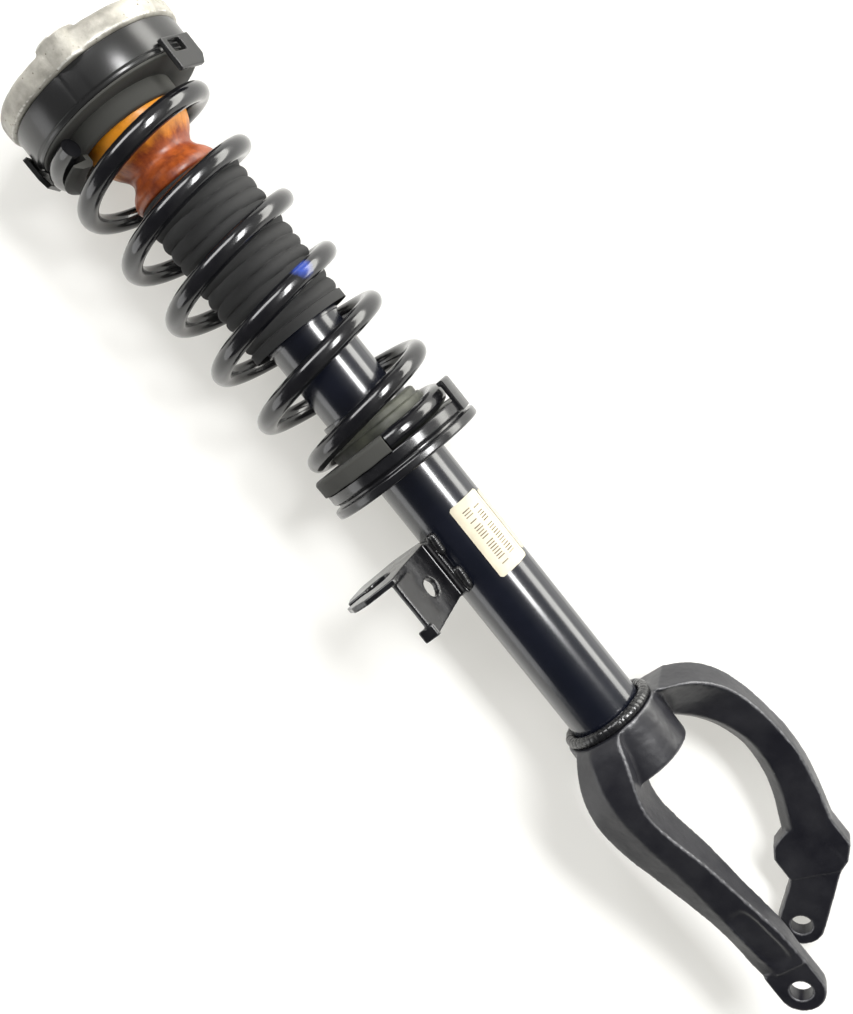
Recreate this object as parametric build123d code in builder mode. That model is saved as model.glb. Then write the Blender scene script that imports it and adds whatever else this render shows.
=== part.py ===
from build123d import *
from math import cos, radians, sin
import os

# Coil-over suspension strut with a forked lower end.
# Frame: +Z up the damper axis, origin where the lower bolt axis crosses it,
# +Y along the lower bolt towards the ear that carries the curved arm.
# All sizes are millimetres and all angles are degrees.

# ------------------------------------------------------------------ driving dimensions
FACE = -66.0             # bearing of the labelled side of the tube, measured from +X
TUBE_R = 25.0
TUBE_WALL = 2.5
BORE_R = TUBE_R - TUBE_WALL
TUBE_BOTTOM = 178.0
TUBE_TOP = 540.0
ROD_R = 7.0
ROD_THREAD_R = 6.0
SLIDE_GAP = 0.05         # radial clearance of every piece that slides in the bore or on the rod

BOLT_R = 7.25            # lower bolt holes
EAR_R = 15.5
EAR_T = 12.0
NEAR_EAR_Y = -34.0       # outer face of the ear below the straight arm
FAR_EAR_Y = 33.0         # inner face of the ear below the curved arm
HEAD_R = 33.5
HEAD_BOTTOM = 172.0
HEAD_TOP = 208.0

PERCH_R = 54.4
PERCH_BOTTOM = 415.5
PAN_FLOOR = 427.0
PAN_RIM = 432.0
SEAT_HUB_R = 34.5

WIRE_R = 6.25
COIL_R = 49.6            # mean radius of the working coils
END_COIL_R = 42.0        # mean radius of the lower end coil
PITCH = 40.6
LOWER_COIL_Z = 437.6     # wire centre at the lower tip
SPRING_LEAN = 7.9        # sideways shift of the spring's upper end

BOOT_BOTTOM = 522.0
BOOT_TOP = 641.0
BOOT_R = 35.4
BOOT_VALLEY_R = 32.8
BOOT_BORE_R = 30.2
BOOT_FOLDS = 12

SEAT_BOTTOM = 691.5
SEAT_TOP = 713.0
SEAT_R = 59.5
HOUSING_R = 61.7
HOUSING_TOP = 728.5
LOBE_TOP = 731.0
UPPER_SHIFT = 2.8        # the top mount's outline sits this far to one side of the rod
PAD_SHIFT = 7.6          # and the upper coil's seat this far
STUD_CIRCLE_R = 51.0
LOBE_R = 13.5
LOBE_COUNT = 3
LOBE_BEARING = -4.0
INSERT_DEPTH = 17.0
STUD_HOLE_R = 4.25
INSERT_R = 7.0
ROD_SHOULDER = 699.0
ROD_TIP = 746.0

SHEET = 3.8              # bracket sheet thickness
BRACKET_TOP = 373.4
BRACKET_BOTTOM = 329.5
LINK_HOLE_R = 6.25

os.makedirs("parts", exist_ok=True)


# ------------------------------------------------------------------ helpers
def along(offset, radius=1.0):
    """Point at a bearing measured from the labelled side, anticlockwise seen from above."""
    angle = radians(FACE + offset)
    return (radius * cos(angle), radius * sin(angle))


def outward(offset, radius, height, centre=(0.0, 0.0)):
    """Plane whose normal points away from the axis at the given bearing, with local y upwards."""
    x, y = along(offset)
    origin = (centre[0] + radius * x, centre[1] + radius * y, height)
    return Plane(origin=origin, x_dir=(-y, x, 0), z_dir=(x, y, 0))


def level(height, centre=(0.0, 0.0), offset=0.0):
    """Horizontal plane at a height whose local x points along a bearing."""
    x, y = along(offset)
    return Plane(origin=(centre[0], centre[1], height), x_dir=(x, y, 0), z_dir=(0, 0, 1))


def save(piece, name):
    """Label a finished piece and write its STEP file."""
    piece.part.label = name
    export_step(piece.part, f"parts/{name}.step")


# The side the spring leans to is a quarter turn clockwise from the labelled side.
LEAN_X, LEAN_Y = along(-90.0)
TOP_CENTRE = (UPPER_SHIFT * LEAN_X, UPPER_SHIFT * LEAN_Y)
PAD_CENTRE = (PAD_SHIFT * LEAN_X, PAD_SHIFT * LEAN_Y)
MIDDLE = (0.0, 0.0)


def turned(profile, centre=MIDDLE, arc=360.0, start=0.0):
    """Solid of revolution about the vertical line through centre, from (radius, height) corners."""
    x, y = along(start)
    plane = Plane(origin=(centre[0], centre[1], 0), x_dir=(x, y, 0), z_dir=(y, -x, 0))
    with BuildPart(mode=Mode.PRIVATE) as ring:
        with BuildSketch(plane):
            with BuildLine():
                Polyline(*profile, close=True)
            make_face()
        revolve(axis=Axis((centre[0], centre[1], 0), (0, 0, 1)), revolution_arc=arc)
    return ring.part


# ------------------------------------------------------------------ lower fork
# Each station of the straight arm: height, left, ridge, right, then the depth of the left
# shoulder, of the front face and of the back face.
STRAIGHT_ARM = [
    (18.0, -15.5, -6.0, 15.8, -31.0, -35.0, -22.0),
    (36.0, -17.0, -6.0, 15.8, -32.0, -36.5, -21.5),
    (60.0, -18.2, -8.0, 13.6, -34.0, -39.0, -21.0),
    (86.0, -23.0, -9.5, 10.0, -35.5, -41.0, -20.0),
    (112.0, -29.2, -11.0, 6.6, -37.0, -44.0, -18.5),
    (138.0, -35.2, -14.0, 1.2, -38.5, -46.5, -17.0),
    (160.0, -37.4, -16.0, -0.4, -39.0, -48.0, -14.0),
    (178.0, -35.4, -16.0, 4.0, -38.0, -47.0, -8.0),
    (195.0, -29.6, -14.0, 9.0, -34.0, -42.5, -2.0),
    (208.0, -23.0, -11.0, 13.0, -24.0, -33.0, 4.0),
]
# Each station of the curved arm: height, left, right, front face and back face.
CURVED_ARM = [
    (46.0, 22.0, 63.2, 33.0, 48.0),
    (60.0, 27.0, 64.0, 33.0, 48.0),
    (74.0, 33.0, 67.6, 33.0, 48.5),
    (90.0, 39.6, 71.2, 33.0, 49.0),
    (106.0, 44.0, 73.8, 33.0, 49.0),
    (122.0, 45.8, 74.4, 33.0, 49.0),
    (138.0, 44.0, 73.2, 33.0, 49.0),
    (154.0, 38.0, 70.8, 32.0, 49.0),
    (168.0, 28.0, 67.4, 30.0, 49.0),
    (180.0, 17.0, 63.0, 25.0, 48.0),
    (191.0, 8.0, 56.5, 18.0, 46.5),
    (200.0, 0.0, 47.0, 10.0, 44.0),
    (207.0, -6.0, 36.0, 4.0, 39.0),
]
ARM_BEVEL = 8.0
EAR_TOP = 19.0
GAS_ACCESS_R = 12.0      # hole in the socket's floor, under the gas screw
BLOCK_LEFT = 14.0
BLOCK_RIGHT = 63.5
BLOCK_BOTTOM = 33.0
BLOCK_TOP = 62.0
BLOCK_BACK = 48.0

with BuildPart() as fork:
    for z, left, ridge, right, shoulder, front, back in STRAIGHT_ARM:
        with BuildSketch(Plane.XY.offset(z)):
            with BuildLine():
                Polyline((left, back), (left, shoulder), (ridge, front), (right, front), (right, back), close=True)
            make_face()
    loft()
    for z, left, right, front, back in CURVED_ARM:
        with BuildSketch(Plane.XY.offset(z)):
            with BuildLine():
                Polyline((left, back), (left, front + ARM_BEVEL), (left + ARM_BEVEL, front),
                         (right, front), (right, back), close=True)
            make_face()
    loft()
    # Socket that takes the damper tube, with a floor under it.
    with BuildSketch(Plane.XY.offset(HEAD_BOTTOM)):
        Circle(HEAD_R)
    extrude(amount=HEAD_TOP - HEAD_BOTTOM)
    # Flat ear under the straight arm.
    with BuildSketch(Plane.XZ.offset(-NEAR_EAR_Y)):
        Circle(EAR_R)
        with Locations((0, EAR_TOP / 2)):
            Rectangle(2 * EAR_R, EAR_TOP)
    extrude(amount=-EAR_T)
    # Slanting ear and square boss under the curved arm.
    with BuildSketch(Plane.XZ.offset(-FAR_EAR_Y)):
        Circle(EAR_R)
        with BuildLine():
            Polyline((-9.5, 12.2), (BLOCK_LEFT, BLOCK_BOTTOM), (BLOCK_LEFT + 6, BLOCK_BOTTOM + 8),
                     (54.0, BLOCK_BOTTOM + 2), (46.0, 22.0), (11.0, -10.9), close=True)
        make_face()
    extrude(amount=-EAR_T)
    with BuildSketch(Plane.XZ.offset(-FAR_EAR_Y)):
        with BuildLine():
            Polyline((BLOCK_LEFT, BLOCK_BOTTOM), (BLOCK_LEFT, BLOCK_TOP - 10), (BLOCK_LEFT + 5, BLOCK_TOP - 2),
                     (33.0, BLOCK_TOP + 4), (50.0, BLOCK_TOP + 2), (BLOCK_RIGHT, BLOCK_TOP),
                     (BLOCK_RIGHT, 37.0), (55.0, 27.0), (47.0, 23.0), close=True)
        make_face()
    extrude(amount=-(BLOCK_BACK - FAR_EAR_Y))
    with BuildSketch(Plane.XY.offset(TUBE_BOTTOM)):
        Circle(TUBE_R)
    extrude(amount=HEAD_TOP, mode=Mode.SUBTRACT)
    with Locations((0, 0, HEAD_BOTTOM)):
        Hole(radius=GAS_ACCESS_R, depth=HEAD_TOP)
    with BuildSketch(Plane.XZ):
        Circle(BOLT_R)
    extrude(amount=2 * FAR_EAR_Y, both=True, mode=Mode.SUBTRACT)
save(fork, "lower_fork")

with BuildPart() as weld:
    with BuildSketch(Plane.XZ):
        with BuildLine():
            Polyline((TUBE_R, HEAD_TOP), (HEAD_R - 1.0, HEAD_TOP), (HEAD_R - 2.2, HEAD_TOP + 3),
                     (TUBE_R + 4, HEAD_TOP + 6.5), (TUBE_R, HEAD_TOP + 9), close=True)
        make_face()
    revolve(axis=Axis.Z)
save(weld, "fork_weld")

# ------------------------------------------------------------------ damper tube and its ends
PLUG_TOP = 190.0
GAS_HOLE_R = 4.0
with BuildPart() as tube:
    with BuildSketch(Plane.XY.offset(TUBE_BOTTOM)):
        Circle(TUBE_R)
        Circle(BORE_R, mode=Mode.SUBTRACT)
    extrude(amount=TUBE_TOP - TUBE_BOTTOM)
save(tube, "damper_tube")

with BuildPart() as plug:
    with BuildSketch(Plane.XY.offset(TUBE_BOTTOM)):
        Circle(BORE_R)
    extrude(amount=PLUG_TOP - TUBE_BOTTOM)
    with Locations((0, 0, PLUG_TOP)):
        Hole(radius=GAS_HOLE_R, depth=PLUG_TOP - TUBE_BOTTOM)
    chamfer(plug.edges().filter_by(GeomType.CIRCLE).group_by(Axis.Z)[-1].sort_by(SortBy.RADIUS)[-1], 2.0)
save(plug, "tube_end_plug")

with BuildPart() as gas_screw:
    with BuildSketch(Plane.XY.offset(TUBE_BOTTOM - 3.0)):
        RegularPolygon(radius=7.0, side_count=6)
    extrude(amount=3.0)
    with BuildSketch(Plane.XY.offset(TUBE_BOTTOM)):
        Circle(GAS_HOLE_R)
    extrude(amount=9.0)
save(gas_screw, "gas_fill_screw")

PISTON_RING_GROOVE = 1.6
FLOATING_BOTTOM = 300.0
FLOATING_TOP = 318.0
FLOATING_GROOVE = 307.0
with BuildPart() as floating:
    with BuildSketch(Plane.XY.offset(FLOATING_BOTTOM)):
        Circle(BORE_R - SLIDE_GAP)
    extrude(amount=FLOATING_TOP - FLOATING_BOTTOM)
    with BuildSketch(Plane.XY.offset(FLOATING_TOP - 6.0)):
        Circle(15.0)
    extrude(amount=10.0, mode=Mode.SUBTRACT)
    with BuildSketch(Plane.XY.offset(FLOATING_GROOVE)):
        Circle(BORE_R + 1.0)
        Circle(BORE_R - SLIDE_GAP - PISTON_RING_GROOVE, mode=Mode.SUBTRACT)
    extrude(amount=3.0, mode=Mode.SUBTRACT)
save(floating, "floating_piston")

with BuildPart() as floating_ring:
    with BuildSketch(Plane.XY.offset(FLOATING_GROOVE)):
        Circle(BORE_R - SLIDE_GAP)
        Circle(BORE_R - SLIDE_GAP - PISTON_RING_GROOVE, mode=Mode.SUBTRACT)
    extrude(amount=3.0)
save(floating_ring, "floating_piston_seal")

GUIDE_BOTTOM = 508.0
GUIDE_TOP = 524.0
GUIDE_GROOVE = 514.0
GUIDE_BUSH_R = 10.0
RING_DEPTH = 2.0
RING_T = 3.0
with BuildPart() as guide:
    with BuildSketch(Plane.XY.offset(GUIDE_BOTTOM)):
        Circle(BORE_R)
        Circle(GUIDE_BUSH_R, mode=Mode.SUBTRACT)
    extrude(amount=GUIDE_TOP - GUIDE_BOTTOM)
    with BuildSketch(Plane.XY.offset(GUIDE_GROOVE)):
        Circle(BORE_R + 1.0)
        Circle(BORE_R - RING_DEPTH, mode=Mode.SUBTRACT)
    extrude(amount=RING_T, mode=Mode.SUBTRACT)
save(guide, "rod_guide")

with BuildPart() as guide_bush:
    with BuildSketch(Plane.XY.offset(GUIDE_BOTTOM)):
        Circle(GUIDE_BUSH_R)
        Circle(ROD_R + SLIDE_GAP, mode=Mode.SUBTRACT)
    extrude(amount=GUIDE_TOP - GUIDE_BOTTOM)
save(guide_bush, "rod_guide_bush")

with BuildPart() as guide_ring:
    with BuildSketch(Plane.XY.offset(GUIDE_GROOVE)):
        Circle(BORE_R)
        Circle(BORE_R - RING_DEPTH, mode=Mode.SUBTRACT)
    extrude(amount=RING_T)
save(guide_ring, "rod_guide_seal_ring")

SEAL_TOP = 531.0
RETAINER_R = 14.0
with BuildPart() as seal:
    with BuildSketch(Plane.XY.offset(GUIDE_TOP)):
        Circle(BORE_R)
        Circle(ROD_R + SLIDE_GAP, mode=Mode.SUBTRACT)
    extrude(amount=SEAL_TOP - GUIDE_TOP)
save(seal, "rod_seal")

with BuildPart() as clip:
    with BuildSketch(Plane.XY.offset(SEAL_TOP)):
        Circle(BORE_R)
        Circle(RETAINER_R, mode=Mode.SUBTRACT)
    extrude(amount=TUBE_TOP - SEAL_TOP)
save(clip, "seal_retainer")

CAP_TOP = 543.5
CAP_BOTTOM = 520.0
CAP_WALL = 1.6
CAP_MOUTH_R = 9.0
with BuildPart() as cap:
    with BuildSketch(Plane.XZ):
        with BuildLine():
            Polyline((TUBE_R, CAP_BOTTOM), (TUBE_R + CAP_WALL, CAP_BOTTOM), (TUBE_R + CAP_WALL, CAP_TOP - 1.5),
                     (TUBE_R, CAP_TOP), (CAP_MOUTH_R, CAP_TOP), (CAP_MOUTH_R, TUBE_TOP), (TUBE_R, TUBE_TOP),
                     close=True)
        make_face()
    revolve(axis=Axis.Z)
save(cap, "tube_cap")

# ------------------------------------------------------------------ lower spring seat
PAN_UNDERSIDE = 423.5
PAN_R = 52.0
PAN_INNER_R = 49.2
BEAD_TOP = 421.5         # top of the rolled bead round the pan's foot
TAB_TOP = 445.8
TAB_R = 54.2
TAB_START = 61.0
TAB_ARC = 17.0
with BuildPart() as perch:
    with BuildSketch(Plane.XZ):
        with BuildLine():
            Polyline((TUBE_R, PAN_UNDERSIDE), (46.5, PAN_UNDERSIDE), (46.5, PERCH_BOTTOM),
                     (PERCH_R - 1, PERCH_BOTTOM), (PERCH_R, PERCH_BOTTOM + 1), (PERCH_R, BEAD_TOP - 1),
                     (PERCH_R - 1, BEAD_TOP), (50.2, BEAD_TOP), (49.6, BEAD_TOP + 0.9), (49.6, BEAD_TOP + 2.1),
                     (PAN_R, BEAD_TOP + 3.5), (PAN_R, PAN_RIM - 0.8), (PAN_R - 0.8, PAN_RIM),
                     (PAN_INNER_R, PAN_RIM), (PAN_INNER_R, PAN_FLOOR), (TUBE_R, PAN_FLOOR), close=True)
        make_face()
    revolve(axis=Axis.Z)
    # Upright stop tab at the rim, with its top turned in over the end coil.
    add(turned([(51.0, PAN_UNDERSIDE + 1), (TAB_R, PAN_UNDERSIDE - 0.5), (TAB_R, TAB_TOP), (49.6, TAB_TOP),
                (49.6, TAB_TOP - 2.4), (51.0, TAB_TOP - 2.4)], arc=TAB_ARC, start=TAB_START))
save(perch, "lower_spring_seat")

SEAT_SLEEVE_R = 28.0
SEAT_SLEEVE_TOP = 466.0
with BuildPart() as sleeve:
    with BuildSketch(Plane.XY.offset(PAN_FLOOR)):
        Circle(SEAT_SLEEVE_R)
        Circle(TUBE_R, mode=Mode.SUBTRACT)
    extrude(amount=SEAT_SLEEVE_TOP - PAN_FLOOR)
    chamfer(sleeve.edges().group_by(Axis.Z)[-1].sort_by(SortBy.RADIUS)[-1], 0.8)
save(sleeve, "seat_sleeve")

with BuildPart() as seat_weld:
    with BuildSketch(Plane.XZ):
        with BuildLine():
            Polyline((TUBE_R, PAN_UNDERSIDE - 4.5), (TUBE_R + 1.5, PAN_UNDERSIDE - 3.5),
                     (TUBE_R + 4.5, PAN_UNDERSIDE), (TUBE_R, PAN_UNDERSIDE), close=True)
        make_face()
    revolve(axis=Axis.Z)
save(seat_weld, "seat_weld")

END_SEAT = LOWER_COIL_Z - WIRE_R
PAD_R = 49.0
PAD_SHOULDER = 449.5
PAD_COLLAR_TOP = 455.0
STOP_R = 53.6
STOP_TOP = 443.2
STOP_START = -95.0
STOP_ARC = 92.0
with BuildPart() as lower_pad:
    with BuildSketch(Plane.XZ):
        with BuildLine():
            Polyline((SEAT_SLEEVE_R, PAN_FLOOR), (PAD_R, PAN_FLOOR), (PAD_R, END_SEAT), (SEAT_HUB_R, END_SEAT),
                     (SEAT_HUB_R, PAD_SHOULDER - 1), (SEAT_HUB_R - 1, PAD_SHOULDER), (32.4, PAD_SHOULDER),
                     (32.4, PAD_COLLAR_TOP - 1.5), (30.4, PAD_COLLAR_TOP), (SEAT_SLEEVE_R, PAD_COLLAR_TOP),
                     close=True)
        make_face()
    revolve(axis=Axis.Z)
    # Stop that fills the space under the rising coil.
    add(turned([(SEAT_HUB_R, END_SEAT), (PAD_R, END_SEAT), (PAD_R, PAN_RIM), (STOP_R, PAN_RIM),
                (STOP_R, STOP_TOP - 1.2), (STOP_R - 1.2, STOP_TOP), (SEAT_HUB_R, STOP_TOP)],
               arc=STOP_ARC, start=STOP_START))
save(lower_pad, "lower_spring_pad")

# ------------------------------------------------------------------ main spring
# The wire turns about an axis that leans over as it climbs. The lower end coil is smaller.
SPRING_TIP = -1.0        # bearing of the lower tip from the labelled side
FLAT_TURN = 0.072        # the wire lies flat on its pad up to here
RISE_FIRST = 13.2        # then it climbs by this much a turn
RISE_SQUARE = 11.7       # and this much a turn squared
END_TURN = 0.692         # turns at the smaller radius
BLEND_TURN = 0.55        # turns over which the radius grows
FULL_PITCH_TURN = 1.252  # from here the pitch is constant
FULL_PITCH_Z = 469.5
CLOSING_TURN = 6.072     # from here the upper end coil closes down flat
CLOSING_RATE = 22.5
CLOSING_PULL = 3.8       # and draws in round the hub of the upper pad
LAST_TURN = 6.892
LEAN_START_Z = 450.0     # the axis leans over between these heights
LEAN_RUN = 130.0
FIRST_LEAN = 1.0


def wire_point(turn):
    """Centre of the wire after a number of turns from the lower tip."""
    rising = max(turn - FLAT_TURN, 0.0)
    if turn < FULL_PITCH_TURN:
        height = LOWER_COIL_Z + RISE_FIRST * rising + RISE_SQUARE * rising * rising
    else:
        height = FULL_PITCH_Z + PITCH * (turn - FULL_PITCH_TURN)
    closing = max(turn - CLOSING_TURN, 0.0)
    height -= CLOSING_RATE * closing * closing
    grow = min(max((turn - END_TURN) / BLEND_TURN, 0.0), 1.0)
    grow = grow * grow * (3 - 2 * grow)
    radius = END_COIL_R + (COIL_R - END_COIL_R) * grow - CLOSING_PULL * closing * closing
    lean = min(max((height - LEAN_START_Z) / LEAN_RUN, 0.0), 1.0)
    lean = FIRST_LEAN + (SPRING_LEAN - FIRST_LEAN) * lean * lean * (3 - 2 * lean)
    x, y = along(SPRING_TIP + 360.0 * turn, radius)
    return (x + lean * LEAN_X, y + lean * LEAN_Y, height)


WIRE_STEPS = 24          # wire stations a turn
stations = [wire_point(step / WIRE_STEPS) for step in range(round(LAST_TURN * WIRE_STEPS) + 1)]
with BuildPart() as spring:
    with BuildLine():
        path = Spline(*stations)
    with BuildSketch(path ^ 0):
        Circle(WIRE_R)
    sweep(path=path, is_frenet=True)
save(spring, "main_spring")

# ------------------------------------------------------------------ link bracket
# A folded sheet: a foot curved round the tube, an upright plate with the link hole, a tab at
# its lower corner, and a level plate with an open slot for the brake hose.
FOOT_START = -69.0       # bearing of the foot's first edge from the labelled side
FOOT_ARC = 25.0
PLATE_INNER = (-22.0, 11.5)     # across and out from the axis, at the tube
PLATE_OUTER = (-50.0, 52.0)
HOSE_HOLE = (-61.0, 24.0)
HOSE_HOLE_R = 11.0
HOSE_MOUTH = 13.0


def sheet_point(across, out):
    """Point from its distance to the right of the labelled side and its distance out from it."""
    right = along(90.0)
    face = along(0.0)
    return (across * right[0] + out * face[0], across * right[1] + out * face[1])


INNER = sheet_point(*PLATE_INNER)
OUTER = sheet_point(*PLATE_OUTER)
PLATE_RUN = ((OUTER[0] - INNER[0]) ** 2 + (OUTER[1] - INNER[1]) ** 2) ** 0.5
RUN_DIR = ((OUTER[0] - INNER[0]) / PLATE_RUN, (OUTER[1] - INNER[1]) / PLATE_RUN)
# Upright plate's own plane: local x runs away from the tube, local y up.
UPRIGHT = Plane(origin=(INNER[0], INNER[1], BRACKET_BOTTOM), x_dir=(RUN_DIR[0], RUN_DIR[1], 0),
                z_dir=(RUN_DIR[1], -RUN_DIR[0], 0))
PLATE_HEIGHT = BRACKET_TOP - BRACKET_BOTTOM
LINK_HOLE_X = 23.2
LINK_HOLE_Z = 21.8
with BuildPart() as bracket:
    with BuildSketch(UPRIGHT):
        with BuildLine():
            Polyline((0, 4), (PLATE_RUN - 4, 0), (PLATE_RUN, 3), (PLATE_RUN, PLATE_HEIGHT),
                     (0, PLATE_HEIGHT), close=True)
        make_face()
    extrude(amount=SHEET)
    with BuildSketch(UPRIGHT):
        with Locations((LINK_HOLE_X, LINK_HOLE_Z)):
            Circle(LINK_HOLE_R + 5.5)
    extrude(amount=SHEET + 0.8)
    # Tab folded back from the outer lower corner.
    with BuildSketch(Plane.XY.offset(BRACKET_BOTTOM)):
        with BuildLine():
            Polyline(sheet_point(-50.0, 50.5), sheet_point(-57.5, 48.0), sheet_point(-58.5, 51.0),
                     sheet_point(-49.0, 54.5), sheet_point(-46.5, 52.5), close=True)
        make_face()
    extrude(amount=8.0)
    with BuildSketch(Plane.XY.offset(BRACKET_TOP - SHEET)):
        with BuildLine():
            Polyline(sheet_point(-24.0, 8.0), sheet_point(-49.0, 54.5), sheet_point(-70.0, 53.0),
                     sheet_point(-80.0, 45.0), sheet_point(-84.0, 30.0), sheet_point(-82.0, 6.0),
                     sheet_point(-72.0, -10.0), sheet_point(-46.0, -13.0), sheet_point(-24.5, -4.0),
                     close=True)
        make_face()
    extrude(amount=SHEET)
    fillet(bracket.edges().filter_by(Axis.Z).group_by(Axis.Z)[-1].sort_by_distance(
        (*sheet_point(-82.0, 30.0), BRACKET_TOP))[0:3], 6.0)
    with BuildSketch(Plane.XY.offset(BRACKET_TOP - 2 * SHEET)):
        with Locations(sheet_point(*HOSE_HOLE)):
            Circle(HOSE_HOLE_R)
        with BuildLine():
            Polyline(sheet_point(HOSE_HOLE[0], HOSE_HOLE[1] - HOSE_MOUTH / 2),
                     sheet_point(HOSE_HOLE[0], HOSE_HOLE[1] + HOSE_MOUTH / 2),
                     sheet_point(-90.0, HOSE_HOLE[1] + HOSE_MOUTH / 2),
                     sheet_point(-90.0, HOSE_HOLE[1] - HOSE_MOUTH / 2), close=True)
        make_face()
    extrude(amount=3 * SHEET, mode=Mode.SUBTRACT)
    with BuildSketch(UPRIGHT):
        with Locations((LINK_HOLE_X, LINK_HOLE_Z)):
            Circle(LINK_HOLE_R)
    extrude(amount=SHEET * 3, both=True, mode=Mode.SUBTRACT)
    # Foot that hugs the tube.
    add(turned([(TUBE_R, BRACKET_BOTTOM + 3), (TUBE_R + SHEET, BRACKET_BOTTOM + 3),
                (TUBE_R + SHEET, BRACKET_TOP), (TUBE_R, BRACKET_TOP)],
               arc=FOOT_ARC, start=FOOT_START))
    with BuildSketch(Plane.XY.offset(BRACKET_BOTTOM - 5)):
        Circle(TUBE_R)
    extrude(amount=PLATE_HEIGHT + 10, mode=Mode.SUBTRACT)
save(bracket, "link_bracket")

WELD_HEIGHTS = (341.7, 368.5)
with BuildPart() as bracket_welds:
    for height in WELD_HEIGHTS:
        with BuildSketch(outward(FOOT_START + FOOT_ARC, TUBE_R - 2.0, height)):
            Ellipse(4.6, 7.2)
        extrude(amount=4.8)
    with BuildSketch(Plane.XY.offset(BRACKET_BOTTOM - 5)):
        Circle(TUBE_R)
    extrude(amount=PLATE_HEIGHT + 20, mode=Mode.SUBTRACT)
    add(bracket.part, mode=Mode.SUBTRACT)
save(bracket_welds, "bracket_welds")

# ------------------------------------------------------------------ label on the tube
LABEL_BOTTOM = 327.4
LABEL_TOP = 380.7
LABEL_SKIN = 0.25
LABEL_START = 3.0
LABEL_ARC = 61.0
STRIP_BOTTOM = 331.4
STRIP_TOP = 377.7
STRIP_START = 66.0
STRIP_ARC = 24.0


def skin(name, bottom, top, start, arc):
    """Thin film on the tube between two heights, saved as a piece of its own."""
    with BuildPart() as film:
        add(turned([(TUBE_R, bottom), (TUBE_R + LABEL_SKIN, bottom), (TUBE_R + LABEL_SKIN, top), (TUBE_R, top)],
                   arc=arc, start=start))
    save(film, name)


skin("label", LABEL_BOTTOM, LABEL_TOP, LABEL_START, LABEL_ARC)
skin("label_strip", STRIP_BOTTOM, STRIP_TOP, STRIP_START, STRIP_ARC)

# ------------------------------------------------------------------ rod and piston
PISTON_BOTTOM = 470.0
PISTON_TOP = 486.0
ROD_END = 456.0
SPIGOT_R = 5.0           # rod end that carries the piston
SHIM_T = 0.4
with BuildPart() as rod:
    with BuildSketch(Plane.XZ):
        with BuildLine():
            Polyline((0, ROD_END), (SPIGOT_R - 1, ROD_END), (SPIGOT_R, ROD_END + 1), (SPIGOT_R, PISTON_TOP + 2),
                     (ROD_R, PISTON_TOP + 2), (ROD_R, ROD_SHOULDER), (ROD_THREAD_R, ROD_SHOULDER),
                     (ROD_THREAD_R, ROD_TIP - 1), (ROD_THREAD_R - 1, ROD_TIP), (0, ROD_TIP), close=True)
        make_face()
    revolve(axis=Axis.Z)
    with BuildSketch(Plane.XY.offset(ROD_TIP - 6.0)):
        RegularPolygon(radius=3.0, side_count=6)
    extrude(amount=10.0, mode=Mode.SUBTRACT)
save(rod, "piston_rod")

PORT_COUNT = 6
PORT_CIRCLE_R = 13.0
PORT_R = 2.2
BAND_T = 8.0
BAND_DEPTH = 1.8
with BuildPart() as piston:
    with BuildSketch(Plane.XY.offset(PISTON_BOTTOM)):
        Circle(BORE_R - 0.3)
        Circle(SPIGOT_R, mode=Mode.SUBTRACT)
        with PolarLocations(PORT_CIRCLE_R, PORT_COUNT):
            Circle(PORT_R, mode=Mode.SUBTRACT)
    extrude(amount=PISTON_TOP - PISTON_BOTTOM)
    with BuildSketch(Plane.XY.offset(PISTON_BOTTOM + 4)):
        Circle(BORE_R + 1)
        Circle(BORE_R - BAND_DEPTH, mode=Mode.SUBTRACT)
    extrude(amount=BAND_T, mode=Mode.SUBTRACT)
save(piston, "piston")

with BuildPart() as band:
    with BuildSketch(Plane.XY.offset(PISTON_BOTTOM + 4)):
        Circle(BORE_R - SLIDE_GAP)
        Circle(BORE_R - BAND_DEPTH, mode=Mode.SUBTRACT)
    extrude(amount=BAND_T)
save(band, "piston_band")


def shims(name, first, sizes, step):
    """Stack of thin valve discs, each a separate disc, with its radii in order."""
    with BuildPart() as stack:
        for index, radius in enumerate(sizes):
            with BuildSketch(Plane.XY.offset(first + index * step)):
                Circle(radius)
                Circle(SPIGOT_R, mode=Mode.SUBTRACT)
            extrude(amount=SHIM_T)
    save(stack, name)


REBOUND_RADII = (18.0, 16.0, 13.0, 10.5)
COMPRESSION_RADII = (17.0, 14.0, 11.0, 9.0)
shims("rebound_shims", PISTON_BOTTOM - SHIM_T, REBOUND_RADII, -SHIM_T)
shims("compression_shims", PISTON_TOP, COMPRESSION_RADII, SHIM_T)

PISTON_NUT_T = 8.0
with BuildPart() as piston_nut:
    with BuildSketch(Plane.XY.offset(PISTON_BOTTOM - len(REBOUND_RADII) * SHIM_T - PISTON_NUT_T)):
        RegularPolygon(radius=10.0, side_count=6)
        Circle(SPIGOT_R, mode=Mode.SUBTRACT)
    extrude(amount=PISTON_NUT_T)
save(piston_nut, "piston_nut")

with BuildPart() as rebound_stop:
    with BuildSketch(Plane.XY.offset(PISTON_TOP + 6)):
        Circle(16.0)
        Circle(ROD_R, mode=Mode.SUBTRACT)
    extrude(amount=12.0)
    fillet(rebound_stop.edges().filter_by(GeomType.CIRCLE).sort_by(SortBy.RADIUS)[-2:], 2.0)
save(rebound_stop, "rebound_stop")

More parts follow.
